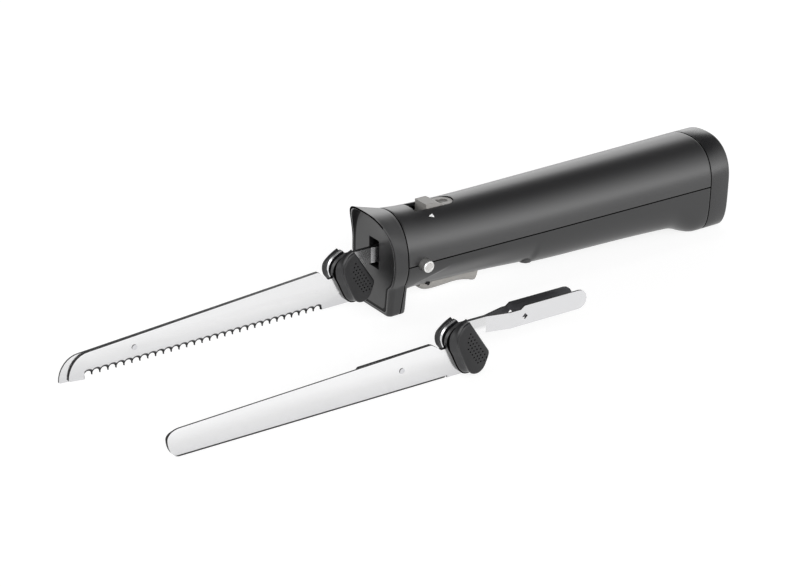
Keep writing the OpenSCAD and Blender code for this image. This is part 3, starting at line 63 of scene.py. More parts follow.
# Sizes shared with the CAD source
AXIS_H = 36.4
NOSE_X = -5.8
COLLAR_X = NOSE_X + 9.6
SHELL_L = 234.0
CAP_X = COLLAR_X + SHELL_L
END_X = CAP_X + 16.0
BODY_W, CROWN_H, BELLY_H = 52.4, 24.9, 32.5
WALL, SEAM_DROP = 2.2, 4.3
SEAM_Z = AXIS_H - SEAM_DROP
WIDTH = [[0, 0.855], [0.1, 0.845], [0.25, 0.872], [0.45, 0.917], [0.75, 0.965], [1, 1]]
CROWN = [[0, 1], [0.06, 0.945], [0.2, 0.905], [0.34, 0.9], [0.75, 0.92], [1, 0.94]]
BELLY = [[0, 0.93], [0.03, 0.89], [0.06, 0.862], [0.25, 0.874], [0.4, 0.902], [0.415, 0.945],
         [0.6, 0.972], [0.8, 1], [0.885, 1.01], [1, 1.01]]
TOP_P = [[0, 2.25], [1, 2.36]]
LOW_P = [[0, 1.75], [0.2, 2.05], [0.5, 2.5], [0.87, 3], [0.975, 4.5], [1, 4.5]]
HEEL_0, HEEL_1, HEEL_FLAT = 0.885, 0.972, 0.05
# Width and depth of the seam grooves, and the easing of their edges
SEAM_W, SEAM_D, SEAM_SOFT = 0.8, 1.2, 0.14
WING_REAR = NOSE_X - 6.0
EDGE_Z = AXIS_H - 26.9
TOOTH_X, TOOTH_PITCH, TEETH, GULLET_Z = NOSE_X - 192.8, 5.0, 31, EDGE_Z + 0.47
# Outer radius of the painted shade arch round a ground hollow of radius 2.9, and how softly it ends
ARCH_R, ARCH_SOFT = 3.5, 0.25


def curve(table, s):
    """Cubic Hermite curve through a table of (share, value), with central slopes.

    v = (2u^3-3u^2+1)v0 + (u^3-2u^2+u)m0 + (3u^2-2u^3)v1 + (u^3-u^2)m1
    """
    t = np.array(table, float)
    x, y = t[:, 0], t[:, 1]
    m = np.empty(len(x))
    m[1:-1] = (y[2:] - y[:-2]) / (x[2:] - x[:-2])
    m[0] = (y[1] - y[0]) / (x[1] - x[0])
    m[-1] = (y[-1] - y[-2]) / (x[-1] - x[-2])
    s = np.asarray(s, float)
    i = np.clip(np.searchsorted(x, s, side="right") - 1, 0, len(x) - 2)
    h = x[i + 1] - x[i]
    u = np.clip((s - x[i]) / h, 0, 1)
    return ((2 * u**3 - 3 * u**2 + 1) * y[i] + (u**3 - 2 * u**2 + u) * m[i] * h
            + (3 * u**2 - 2 * u**3) * y[i + 1] + (u**3 - u**2) * m[i + 1] * h)


def ramp(u):
    """Smooth step: 3v^2 - 2v^3 for v = u held between 0 and 1."""
    v = np.clip(u, 0, 1)
    return v * v * (3 - 2 * v)


def spow(v, p):
    """Signed power: sign(v)|v|^p."""
    return np.sign(v) * np.abs(v) ** p


def share(x):
    """Place along the shells, from 0 at the collar seam to 1 at the cap seam."""
    return np.clip((np.asarray(x, float) - COLLAR_X) / SHELL_L, 0, 1)


def half_w(x):
    return BODY_W / 2 * curve(WIDTH, share(x))


def crown(x):
    return CROWN_H * curve(CROWN, share(x))


def belly(x):
    """Depth of the underside below the drive axis; the heel comes down to the table."""
    s = share(x)
    b = BELLY_H * curve(BELLY, np.minimum(s, HEEL_0))
    return b + (AXIS_H - b) * ramp((s - HEEL_0) / (HEEL_1 - HEEL_0))


def recess(x, drop):
    """Depth of the finger recess behind the crease that climbs from the guard to the seam."""
    line = NOSE_X + 14 + 20 * (20 - drop) / 8
    start = ramp((x - line) / 5)
    depth = ramp((drop - 2 * SEAM_DROP) / (20 - 2 * SEAM_DROP))
    fade = 1 - 0.7 * ramp((x - NOSE_X - 62) / 42)
    stop = 1 - ramp((x - NOSE_X - 104) / 4)
    return 2.2 * start * depth * fade * stop


def top_point(x, a, inset):
    """Superellipse |y/w|^p + |z/h|^p = 1 over the seam plane; a runs from 0 to 180 degrees."""
    x, a, inset = np.broadcast_arrays(np.asarray(x, float), a, inset)
    p = 2 / curve(TOP_P, share(x))
    r = np.radians(a)
    w, h = half_w(x) - inset, crown(x) + SEAM_DROP - inset
    return np.stack([x, w * spow(np.cos(r), p), SEAM_Z + h * spow(np.sin(r), p)], -1)


def low_point(x, a, inset):
    """The same below the seam plane, with the heel's flat underside and the finger recess."""
    x, a, inset = np.broadcast_arrays(np.asarray(x, float), a, inset)
    p = 2 / curve(LOW_P, share(x))
    r = np.radians(a)
    w, h = half_w(x) - inset, belly(x) - SEAM_DROP - inset
    gain = 1 + HEEL_FLAT * ramp((share(x) - HEEL_0) / (HEEL_1 - HEEL_0))
    drop = SEAM_DROP + h * np.minimum(gain * spow(np.sin(r), p), 1)
    y = w * spow(np.cos(r), p)
    sink = recess(x, drop)
    return np.stack([x, y - np.sign(y) * sink * ramp(np.abs(y) / (3 * sink + 0.01)), AXIS_H - drop], -1)


# Meshes

def mesh_of(name, pts, faces, finish=None):
    """Mesh in metres, doubles merged and faces turned outwards; finish numbers the faces' materials."""
    me = bpy.data.meshes.new(name)
    me.from_pydata((np.asarray(pts, float) * MM).tolist(), [], [list(map(int, f)) for f in faces])
    if finish is not None:
        me.polygons.foreach_set("material_index", np.asarray(finish, int))
    bm = bmesh.new()
    bm.from_mesh(me)
    bmesh.ops.remove_doubles(bm, verts=bm.verts, dist=1e-7)
    bmesh.ops.recalc_face_normals(bm, faces=bm.faces)
    bm.to_mesh(me)
    bm.free()
    return me


def link(name, me, node, slot=None, replace=True, sharp=32, more=()):
    """Smooth object on the body of a CAD node, in a finish and more; it replaces the node."""
    o = bpy.data.objects.new(name, me)
    bpy.context.scene.collection.objects.link(o)
    me.shade_smooth()
    me.set_sharp_from_angle(angle=math.radians(sharp))
    index = np.zeros(len(me.polygons), int)
    me.polygons.foreach_get("material_index", index)
    me.materials.clear()
    for finish in (slot or SLOTS[node], *more):
        me.materials.append(MATS[finish])
    me.polygons.foreach_set("material_index", index)
    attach(o, BODY_OF[node])
    if replace:
        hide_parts(node)
    return o


def paint(me, rule):
    """Numbers each face's material by a rule on the face centres in millimetres and the normals."""
    c, n = np.empty(3 * len(me.polygons)), np.empty(3 * len(me.polygons))
    me.polygons.foreach_get("center", c)
    me.polygons.foreach_get("normal", n)
    me.polygons.foreach_set("material_index", rule(c.reshape(-1, 3) / MM, n.reshape(-1, 3)).astype(int))


def grid_faces(m, n, start=0, wrap=False, flip=False):
    """Quads of an m by n grid of points; wrap joins the last column to the first."""
    i, j = np.meshgrid(np.arange(m - 1), np.arange(n if wrap else n - 1), indexing="ij")
    k = (j + 1) % n
    q = np.stack([i * n + j, i * n + k, (i + 1) * n + k, (i + 1) * n + j], -1).reshape(-1, 4) + start
    return (q[:, ::-1] if flip else q).tolist()


def trough(outer, inner):
    """Closed half shell between two grids, its rims and ends filled with quads."""
    m, n = outer.shape[:2]
    s = m * n
    faces = grid_faces(m, n) + grid_faces(m, n, s, flip=True)
    i, j = np.arange(m - 1), np.arange(n - 1)
    faces += np.stack([i * n, (i + 1) * n, s + (i + 1) * n, s + i * n], -1).tolist()
    e = i * n + n - 1
    faces += np.stack([e, s + e, s + e + n, e + n], -1).tolist()
    faces += np.stack([j, s + j, s + j + 1, j + 1], -1).tolist()
    b = (m - 1) * n
    faces += np.stack([b + j, b + j + 1, s + b + j + 1, s + b + j], -1).tolist()
    return np.concatenate([outer.reshape(-1, 3), inner.reshape(-1, 3)]), faces


def skin(loops, caps=True):
    """Loft over equal closed loops, with one many-sided face at each end."""
    loops = np.asarray(loops, float)
    m, n = loops.shape[:2]
    faces = grid_faces(m, n, wrap=True)
    if caps:
        faces += [list(range(n))[::-1], list(range((m - 1) * n, m * n))]
    return loops.reshape(-1, 3), faces


def prism(outline, lo, hi, axis):
    """Closed prism: an outline in the other two axes, in X, Y, Z order, stretched from lo to hi."""
    p = np.asarray(outline, float)
    pts = np.zeros((2, len(p), 3))
    pts[:, :, [i for i in range(3) if i != axis]] = p
    pts[0, :, axis], pts[1, :, axis] = lo, hi
    return skin(pts)


def rect(a, b):
    return [[a[0], a[1]], [b[0], a[1]], [b[0], b[1]], [a[0], b[1]]]


def ring(cx, cy, r, n=48):
    """Circle of n points about a centre."""
    a = np.linspace(0, 2 * np.pi, n, endpoint=False)
    return np.stack([cx + r * np.cos(a), cy + r * np.sin(a)], -1)


def joined(parts):
    """Several (points, faces) in one."""
    starts = np.cumsum([0] + [len(p) for p, _ in parts])
    faces = [[v + s for v in q] for (_, f), s in zip(parts, starts) for q in f]
    return np.concatenate([p for p, _ in parts]), faces


def cut(solid, cutters, name, finishes=1, walls=0):
    """The first solid less every cutter; the cut faces take the material of the number walls."""
    base = bpy.data.objects.new(name, mesh_of(name, *solid))
    bpy.context.scene.collection.objects.link(base)
    helpers = []
    for c in cutters:
        h = bpy.data.objects.new("cutter", mesh_of("cutter", *c))
        bpy.context.scene.collection.objects.link(h)
        mod = base.modifiers.new("cut", "BOOLEAN")
        mod.operation, mod.solver, mod.object = "DIFFERENCE", "EXACT", h
        helpers.append(h)
        h.data.polygons.foreach_set("material_index", np.full(len(h.data.polygons), walls))
    for o in (base, *helpers):
        for k in range(finishes):
            o.data.materials.append(list(MATS.values())[k])
    me = bpy.data.meshes.new_from_object(base.evaluated_get(bpy.context.evaluated_depsgraph_get()))
    me.name = name
    for o in helpers + [base]:
        bpy.data.objects.remove(o)
    return me


def merged_copy(node):
    """Mesh of a CAD node with its loose triangles joined into whole faces."""
    me = NODES[node].data.copy()
    bm = bmesh.new()
    bm.from_mesh(me)
    bmesh.ops.remove_doubles(bm, verts=bm.verts, dist=2e-6)
    bmesh.ops.dissolve_limit(bm, angle_limit=math.radians(1), verts=bm.verts, edges=bm.edges)
    bm.to_mesh(me)
    bm.free()
    return me


def eased(node, width, more=(), rule=None, slot=None):
    """A CAD node with its hard edges rounded by the given width; a rule gives some faces another finish."""
    o = link(node + "_finish", merged_copy(node), node, slot, more=more)
    mod = o.modifiers.new("ease", "BEVEL")
    mod.width, mod.segments, mod.limit_method = width * MM, 3, "ANGLE"
    mod.angle_limit = math.radians(35)
    mod.harden_normals = True
    fresh = bpy.data.meshes.new_from_object(o.evaluated_get(bpy.context.evaluated_depsgraph_get()))
    o.modifiers.clear()
    o.data = fresh
    if rule:
        paint(fresh, rule)
    return o


# Materials

def grain_nodes(m, scale, detail=3.0):
    """Noise on the object's own coordinates; returns the node tree, its shader and the noise."""
    nt = m.node_tree
    place = nt.nodes.new("ShaderNodeTexCoord")
    mapping = nt.nodes.new("ShaderNodeMapping")
    mapping.inputs["Scale"].default_value = scale
    noise = nt.nodes.new("ShaderNodeTexNoise")
    noise.inputs["Scale"].default_value = 1.0
    noise.inputs["Detail"].default_value = detail
    nt.links.new(place.outputs["Object"], mapping.inputs["Vector"])
    nt.links.new(mapping.outputs["Vector"], noise.inputs["Vector"])
    return nt, nt.nodes["Principled BSDF"], noise


def material(name, colour, rough, metal=0.0, spec=0.5, grain=0.2, scale=(2600, 2600, 2600), vary=0.03,
             depth=0.05, mottle=0.06, aniso=0.0):
    """Finish with a fine bump, a little change in gloss and a little change in tone."""
    m = bpy.data.materials.new(name)
    m.use_nodes = True
    nt, b, noise = grain_nodes(m, scale)
    b.inputs["Metallic"].default_value = metal
    b.inputs["Specular IOR Level"].default_value = spec
    b.inputs["Anisotropic"].default_value = aniso
    bump = nt.nodes.new("ShaderNodeBump")
    bump.inputs["Strength"].default_value = grain
    bump.inputs["Distance"].default_value = depth * MM
    nt.links.new(noise.outputs["Fac"], bump.inputs["Height"])
    nt.links.new(bump.outputs["Normal"], b.inputs["Normal"])
    gloss = nt.nodes.new("ShaderNodeMapRange")
    gloss.inputs["From Min"].default_value = 0.3
    gloss.inputs["From Max"].default_value = 0.7
    gloss.inputs["To Min"].default_value = rough - vary
    gloss.inputs["To Max"].default_value = rough + vary
    nt.links.new(noise.outputs["Fac"], gloss.inputs["Value"])
    nt.links.new(gloss.outputs["Result"], b.inputs["Roughness"])
    tone = nt.nodes.new("ShaderNodeMix")
    tone.data_type = "RGBA"
    tone.inputs["A"].default_value = (*[c * (1 - mottle) for c in colour], 1)
    tone.inputs["B"].default_value = (*[min(c * (1 + mottle), 1) for c in colour], 1)
    nt.links.new(noise.outputs["Fac"], tone.inputs["Factor"])
    nt.links.new(tone.outputs["Result"], b.inputs["Base Color"])
    return m


def painted_shade_arches(nt, split, colour, b):
    """Paints shade as a thin dark arch round every hollow of the serrations.

    The arch ends where d = sqrt((p * (fract((x - x0) / p) - 1/2))^2 + (z - z0)^2) passes ARCH_R.
    """
    def step(operation, *values):
        m = nt.nodes.new("ShaderNodeMath")
        m.operation = operation
        for k, v in enumerate(values):
            if isinstance(v, (int, float)):
                m.inputs[k].default_value = v
            else:
                nt.links.new(v, m.inputs[k])
        return m.outputs[0]

    along = step("DIVIDE", step("SUBTRACT", split.outputs["X"], TOOTH_X * MM), TOOTH_PITCH * MM)
    dx = step("MULTIPLY", step("SUBTRACT", step("FRACT", along), 0.5), TOOTH_PITCH * MM)
    dz = step("SUBTRACT", split.outputs["Z"], GULLET_Z * MM)
    d = step("SQRT", step("ADD", step("MULTIPLY", dx, dx), step("MULTIPLY", dz, dz)))
    near = nt.nodes.new("ShaderNodeMapRange")
    near.inputs["From Min"].default_value = (ARCH_R + ARCH_SOFT) * MM
    near.inputs["From Max"].default_value = ARCH_R * MM
    nt.links.new(d, near.inputs["Value"])
    within = step("MULTIPLY", step("GREATER_THAN", along, 0.0), step("LESS_THAN", along, float(TEETH)))
    # The painted shade colour, mixed in near each hollow
    mix = nt.nodes.new("ShaderNodeMix")
    mix.data_type = "RGBA"
    mix.inputs["B"].default_value = (0.05, 0.05, 0.052, 1)
    nt.links.new(step("MULTIPLY", near.outputs["Result"], within), mix.inputs["Factor"])
    nt.links.new(colour, mix.inputs["A"])
    nt.links.new(mix.outputs["Result"], b.inputs["Base Color"])


def blade_with_painted_sheen(name, z_low, z_high, toothed=False):
    """Steel ground along its length, with a painted reflection in its colour: lighter towards the back,
    darker towards the edge and on the neck.
    """
    m = bpy.data.materials.new(name)
    m.use_nodes = True
    nt, b, noise = grain_nodes(m, (50, 3800, 3800))
    b.inputs["Metallic"].default_value = 1.0
    b.inputs["Anisotropic"].default_value = 0.3
    bump = nt.nodes.new("ShaderNodeBump")
    bump.inputs["Strength"].default_value = 0.12
    bump.inputs["Distance"].default_value = 0.03 * MM
    nt.links.new(noise.outputs["Fac"], bump.inputs["Height"])
    nt.links.new(bump.outputs["Normal"], b.inputs["Normal"])
    gloss = nt.nodes.new("ShaderNodeMapRange")
    gloss.inputs["To Min"].default_value = 0.16
    gloss.inputs["To Max"].default_value = 0.26
    nt.links.new(noise.outputs["Fac"], gloss.inputs["Value"])
    nt.links.new(gloss.outputs["Result"], b.inputs["Roughness"])
    place = nt.nodes.new("ShaderNodeTexCoord")
    split = nt.nodes.new("ShaderNodeSeparateXYZ")
    height = nt.nodes.new("ShaderNodeMapRange")
    height.inputs["From Min"].default_value = z_low * MM
    height.inputs["From Max"].default_value = (z_high + 2) * MM
    # The ramp over the height paints the reflection into the steel's colour
    shade = nt.nodes.new("ShaderNodeValToRGB")
    stops = shade.color_ramp.elements
    stops[0].position, stops[0].color = 0.0, (0.66, 0.66, 0.67, 1)
    stops[1].position, stops[1].color = 1.0, (0.7, 0.7, 0.705, 1)
    for at, v in [(0.27, 0.74), (0.56, 0.88), (0.9, 0.93)]:
        stop = stops.new(at)
        stop.color = (v, v, v * 1.005, 1)
    nt.links.new(place.outputs["Object"], split.inputs["Vector"])
    nt.links.new(split.outputs["Z"], height.inputs["Value"])
    nt.links.new(height.outputs["Result"], shade.inputs["Fac"])
    nt.links.new(shade.outputs["Color"], b.inputs["Base Color"])
    if toothed:
        painted_shade_arches(nt, split, shade.outputs["Color"], b)
    return m


MATS = {
    "housing": material("housing_plastic", (0.0088, 0.0088, 0.0096), 0.34, spec=0.92, vary=0.02),
    "housing_low": material("lower_housing_plastic", (0.009, 0.009, 0.0098), 0.32, spec=0.7, vary=0.02),
    "cap": material("cap_plastic", (0.008, 0.008, 0.0088), 0.28, spec=0.8, vary=0.02),
    "guards": material("guard_plastic", (0.013, 0.013, 0.0143), 0.34, spec=0.6, grain=0.3, vary=0.04),
    "guard_face": material("guard_face", (0.009, 0.009, 0.01), 0.4, spec=0.42, grain=0.4, vary=0.04),
    "slider": material("slider_plastic", (0.29, 0.28, 0.267), 0.45, grain=0.6, scale=(1400, 1400, 1400),
                       depth=0.1, mottle=0.12),
    "slider_pit": material("slider_dimple", (0.14, 0.135, 0.128), 0.5, grain=0.9,
                           scale=(1100, 1100, 1100), depth=0.15, mottle=0.3),
    "controls": material("control_plastic", (0.4, 0.385, 0.365), 0.42),
    "buttons": material("button_paint", (0.6, 0.59, 0.575), 0.3, metal=0.4, grain=0.08),
    "blade_steel": blade_with_painted_sheen("blade_steel", 11.0, 33.8, True),
    "spare_steel": blade_with_painted_sheen("spare_blade_steel", 1.5, 24.3),
    # Duller steel of the tangs; on a right guard's inner flange it is a painted glint, for the bright gap
    # between the guards
    "tang_steel_and_painted_glint": material("tang_steel_and_painted_glint", (0.72, 0.72, 0.73), 0.24, metal=1.0,
                           scale=(60, 3500, 3500), grain=0.1),
    # Painted shade: the inside face of a right blade's tang, which lies in shade between the blades
    "tang_painted_shade": material("tang_painted_shade", (0.07, 0.07, 0.075), 0.3, metal=0.8,
                          scale=(60, 3500, 3500), grain=0.1),
    # Near-black steel for painted shade on the blades' edges, spines and hollows, the rivets' sides and the
    # trigger pin
    "steel_painted_shade": material("steel_painted_shade", (0.008, 0.008, 0.0085), 0.4, spec=0.12,
                             scale=(3500, 400, 400), mottle=0.3),
    "small_steel": material("small_steel", (0.66, 0.66, 0.68), 0.28, metal=1.0, grain=0.1),
    "frame": material("frame_moulding", (0.09, 0.09, 0.095), 0.5),
    "slides": material("slide_acetal", (0.035, 0.035, 0.037), 0.4),
    "gears": material("natural_acetal", (0.78, 0.75, 0.66), 0.38),
    "worm_alloy": material("worm_alloy", (0.62, 0.62, 0.6), 0.36, metal=1.0),
    "bronze": material("sintered_bronze", (0.56, 0.38, 0.18), 0.46, metal=1.0, grain=0.5),
    "can": material("zinc_can", (0.56, 0.57, 0.6), 0.34, metal=1.0, scale=(300, 300, 300), mottle=0.12),
    "magnets": material("ferrite", (0.07, 0.07, 0.075), 0.55, scale=(900, 900, 900), grain=0.5),
    "windings": material("copper_windings", (0.66, 0.26, 0.12), 0.34, metal=1.0, grain=0.9,
                         scale=(200, 1800, 1800), depth=0.2),
    "brush_moulding": material("phenolic", (0.16, 0.06, 0.035), 0.4, scale=(700, 700, 700), mottle=0.2),
    "carbon": material("carbon", (0.02, 0.02, 0.02), 0.6, grain=0.4),
    "board": material("board_laminate", (0.03, 0.16, 0.06), 0.4, scale=(1200, 1200, 1200), mottle=0.15),
    "switch": material("switch_moulding", (0.02, 0.02, 0.022), 0.4),
    "button_side": material("button_side", (0.32, 0.315, 0.307), 0.34, metal=0.5, grain=0.08),
    "button_ring": material("button_ring", (0.9, 0.9, 0.89), 0.22, metal=0.7, grain=0.04),
    # A lighter grey on the collar lip's inner edge: a painted highlight line
    "edge": material("edge_painted_highlight", (0.16, 0.16, 0.165), 0.3, spec=0.6, grain=0.1),
    # Near black on the nose bowl's inner wall: painted shade
    "bowl": material("bowl_painted_shade", (0.006, 0.006, 0.0062), 0.5, spec=0.15),
    "print": material("white_print", (0.8, 0.8, 0.8), 0.5, grain=0.05, mottle=0.02),
    "gap": material("shadow_gap", (0.003, 0.003, 0.003), 0.7, spec=0.0),
}
FINISH_OF = {n: SLOTS[n] for n in NODES}
# The trigger pin takes the near-black steel: painted shade over its end, which shows in the trigger's gap
FINISH_OF.update(worm_wheel="gears", cooling_fan="gears", trigger_pin="steel_painted_shade")
for node, o in NODES.items():
    o.data.materials.clear()
    o.data.materials.append(MATS[FINISH_OF[node]])

# Housing shells
ANG = np.linspace(0, 180, 97)[1:-1]
EDGE_X = np.array([0, 0.1, SEAM_W / 2, SEAM_W / 2 + 0.4])
STATIONS, END_STEP = 178, 1.6
XS = np.concatenate([COLLAR_X + EDGE_X, np.linspace(COLLAR_X + END_STEP, CAP_X - END_STEP, STATIONS),
                     CAP_X - EDGE_X[::-1]])


def half_grid(point, xs, inset, groove, up, end_inset):
    """Rows of one half outline over the stations; the end rows are drawn in for the seams."""
    ins = np.full(len(xs), float(inset))
    ins[[0, 1, -2, -1]] += end_inset
    ins[[2, -3]] += SEAM_SOFT * min(end_inset, 1)
    body = point(xs[:, None], ANG[None, :], ins[:, None])
    w = half_w(xs) - ins
    groove = np.maximum(groove - (ins - inset), 0)

    def row(y, z):
        return np.stack([xs, y, np.full(len(xs), z)], -1)[:, None]

    lift = SEAM_Z + up * SEAM_W / 2
    base = SEAM_Z + up * 0.05
    rows = [row(w - groove, base), row(w, lift), body, row(-w, lift), row(groove - w, base)]
    return np.concatenate(rows, 1)


def shell(point, side):
    """Half shell of the handle, side +1 over the seam plane and -1 under it."""
    return trough(half_grid(point, XS, 0, SEAM_D, side, SEAM_D), half_grid(point, XS, WALL, 0, side, 0))


# Ends of the cutters that go right through: past the sides and top, and under the table
FAR, UNDER = 40.0, -2.0
BUTTON_X, BUTTON_HOLE_R = NOSE_X + 20.8, 3.95
button_cut = prism(ring(BUTTON_X, SEAM_Z, BUTTON_HOLE_R), -FAR, FAR, 1)
SLIDER_X = NOSE_X + 33.2
SLIDER_END, SLIDER_W = SLIDER_X + 22.2, 11.8
OPEN_R = 6.3
OPEN_X0, OPEN_X1 = SLIDER_X - 8.3, SLIDER_END + 0.4
arc = np.linspace(-np.pi / 2, np.pi / 2, 25)
round_end = np.stack([OPEN_X1 - OPEN_R + OPEN_R * np.cos(arc), OPEN_R * np.sin(arc)], -1)
opening = np.concatenate([[[OPEN_X0, OPEN_R], [OPEN_X0, -OPEN_R]], round_end])
slider_cut = prism(opening, AXIS_H + BODY_W / 4, AXIS_H + FAR, 2)
upper = cut(shell(top_point, 1), [slider_cut, button_cut], "upper_shell_skin")


def in_seam(c, n):
    """Second finish for the faces inside the grooves, round the housing and between its halves."""
    x, z = c[:, 0], c[:, 2]
    return (x < COLLAR_X + SEAM_W / 2) | (x > CAP_X - SEAM_W / 2) | (np.abs(z - SEAM_Z) < SEAM_W / 2)


paint(upper, in_seam)
link("upper_shell_skin", upper, "upper_shell", more=["gap"])

GUARD_W, GUARD_TOP, GUARD_TOP_DROP, GUARD_ROUND = 33.2, 37.2, 18.0, 1.6
FOOT_L, SEAM_LEAN = 11.6, 1.9


def guard_share(drop):
    return (drop - GUARD_TOP_DROP) / (AXIS_H - GUARD_TOP_DROP)


def guard_half(drop):
    return GUARD_TOP / 2 + (GUARD_W - GUARD_TOP) / 2 * guard_share(drop)


def guard_seam_x(up):
    """The seam behind the guard leans forward towards the foot."""
    return COLLAR_X - SEAM_LEAN * np.clip(guard_share(-up), 0, 1)


def guard_back():
    """Rear slab of the knuckle guard: loops over its thickness, the rear edges rounded.

    t runs from the seam (0) to the rear face (1); ins draws each loop in, most at the two ends.
    """
    fillet = GUARD_ROUND * (1 - np.sin(np.radians([0, 30, 60, 90])))
    zs = np.concatenate([[12.0, 14, 16, 18, 22, 26, 30, 33], AXIS_H - fillet])
    ys = np.where(zs < 18, 16.4 + (guard_half(18) - 16.4) * ramp((zs - 12) / 6), guard_half(zs))
    ys[-4:] = GUARD_W / 2 - GUARD_ROUND * (1 - np.cos(np.radians([0, 30, 60, 90])))
    loops = []
    for t, ins in [(0, 1.0), (0.02, 1.0), (0.045, 0.1), (0.08, 0),
                   (0.55, 0), (0.8, 0.25), (0.93, 0.7), (1, 1.3)]:
        x = guard_seam_x(-zs) * (1 - t) + (NOSE_X + FOOT_L) * t
        foot = np.where(zs > 34, ins * 0.6, 0) * (zs - 34) / 2.4
        half = np.stack([x, ys - ins * ramp((zs - 12) / 6), AXIS_H - zs + foot], -1)
        loops.append(np.concatenate([half, (half * [1, -1, 1])[::-1]]))
    return skin(loops)


def tube_z(x, y, r0, r1, z0, z1, n=40):
    """Closed ring between two radii, standing on Z."""
    return skin([np.concatenate([ring(x, y, r, n), np.full((n, 1), z)], 1) for r, z in
                 [(r0, z0), (r1, z0), (r1, z1), (r0, z1), (r0, z0)]], caps=False)


SCREW_Y, WELL_R, WELL_WALL, WELL_TOP = 12.0, 3.2, 1.0, AXIS_H - 9
SCREWS = [(x, s * SCREW_Y) for x in (NOSE_X + 104.5, CAP_X - 20) for s in (-1, 1)]
TRIG_X, TRIG_L, TRIG_W, TRIG_PLAY = NOSE_X + 28.8, 43.4, 14.0, 0.5
PIN_X, PIN_Z, KNUCKLE_R, KNUCKLE_HALF = TRIG_X + 4.2, AXIS_H - 24.6, 2.6, 6.6
trigger_cut = prism(rect((TRIG_X - TRIG_PLAY, -TRIG_W / 2 - TRIG_PLAY),
                         (TRIG_X + TRIG_L + 2 * TRIG_PLAY, TRIG_W / 2 + TRIG_PLAY)),
                    UNDER, PIN_Z + KNUCKLE_R + TRIG_PLAY, 2)
well_cuts = [prism(ring(x, y, WELL_R), UNDER, WELL_TOP - 1, 2) for x, y in SCREWS]
lower = cut(shell(low_point, -1), [button_cut, trigger_cut] + well_cuts, "lower_shell_skin")
paint(lower, in_seam)
link("lower_shell_skin", lower, "lower_shell", slot="housing_low", more=["gap"])
rear = mesh_of("guard_rear_skin", *guard_back())
paint(rear, lambda c, n: c[:, 0] < guard_seam_x(c[:, 2] - AXIS_H) + SEAM_W / 2)
link("guard_rear_skin", rear, "lower_shell", replace=False, sharp=40, more=["gap"])
wells = joined([tube_z(x, y, WELL_R, WELL_R + WELL_WALL, AXIS_H - float(belly(x)) + WALL + 1, WELL_TOP)
                for x, y in SCREWS])
link("screw_wells", mesh_of("screw_wells", *wells), "lower_shell", replace=False)

# Front collar
RIM_W, RIM_H, RIM_REACH, RIM_SIDE, RIM_BELLY, RIM_LEAN_P = 45.8, 28.9, 9.0, 0.2, 30.2, 1.9
RIM_P, NOSE_P, NOSE_LOW_P, FLARE_P, LIP_W, BOWL = 3.0, 2.25, 1.75, 1.2, 1.7, 4.08


def rim_x(up):
    """Front edge of the nose: it leans forward towards the top and fades into the plate below."""
    rise = np.clip(up / RIM_H, 0, 1)
    over = NOSE_X - RIM_SIDE - (RIM_REACH - RIM_SIDE) * rise**RIM_LEAN_P
    under = NOSE_X - RIM_SIDE * (1 - ramp((-up - 10) / 9))
    return np.where(up >= 0, over, under)


def nose_loop(w, h, inset, p):
    """Outline of the nose: a superellipse of power p over the seam, the guard's sides below it."""
    wi, hi, foot = w - inset, h + SEAM_DROP - inset, AXIS_H - inset
    a = np.radians(np.linspace(0, 180, 97))
    top = np.stack([wi * spow(np.cos(a), 2 / p), hi * spow(np.sin(a), 2 / p) - SEAM_DROP], -1)
    drop = SEAM_DROP + (foot - GUARD_ROUND - SEAM_DROP) * np.linspace(0, 1, 34)[1:]
    v = np.minimum((drop - SEAM_DROP) / (RIM_BELLY - SEAM_DROP), 1)
    y = np.maximum(wi * (1 - v**NOSE_LOW_P) ** (1 / NOSE_LOW_P), guard_half(drop) - inset)
    b = np.radians([20, 40, 60, 80, 90])
    corner = np.stack([GUARD_W / 2 - inset - GUARD_ROUND * (1 - np.cos(b)),
                       -(foot - GUARD_ROUND + GUARD_ROUND * np.sin(b))], -1)
    down = np.concatenate([np.stack([y, -drop], -1), corner])
    return np.concatenate([top, down * [-1, 1], down[::-1]])


def nose_ring(loop, x_share, lead=0.0, soft=0.0, plate_share=0.0):
    """The outline between the rim (share 0) and the seam (share 1), or sunk towards the plate.

    soft draws the knuckle guard's sides in, which rounds the guard's front edges.
    """
    front = rim_x(loop[:, 1])
    front = front + (NOSE_X - front) * plate_share
    x = front + (guard_seam_x(loop[:, 1]) - front) * x_share - lead
    y = loop[:, 0] - np.sign(loop[:, 0]) * soft * ramp((-loop[:, 1] - 14) / 6)
    return np.stack([x, y, AXIS_H + loop[:, 1]], -1)


BACK_W, BACK_H = float(half_w(COLLAR_X)), float(crown(COLLAR_X))
# Finishes of the collar in the order of its material slots: skin, the painted shadow of the gaps and the
# rim's front edge, a painted highlight on the lip's inner edge and painted shade on the bowl's inner wall
SKIN, GAP, LIP_PAINTED_HIGHLIGHT, BOWL_PAINTED_SHADE = range(4)
SEAM_ROWS = [(SEAM_D, 0, GAP), (SEAM_D, 0.1, GAP), (SEAM_SOFT, SEAM_W / 2, SKIN), (0, SEAM_W / 2 + 0.4, SKIN)]
BOWL_ROWS = [(0, LIP_W - 0.4, LIP_PAINTED_HIGHLIGHT), (0.02, LIP_W - 0.05, LIP_PAINTED_HIGHLIGHT), (0.07, LIP_W + 0.08, BOWL_PAINTED_SHADE),
             (0.35, 2.1, BOWL_PAINTED_SHADE), (0.65, 2.5, BOWL_PAINTED_SHADE), (0.85, 3.0, BOWL_PAINTED_SHADE), (0.96, 3.6, SKIN),
             (1, BOWL + 0.2, SKIN)]
rows = []
for inset, lead, finish in SEAM_ROWS:
    rows.append((nose_ring(nose_loop(BACK_W, BACK_H, inset, NOSE_P), 1, lead), finish))
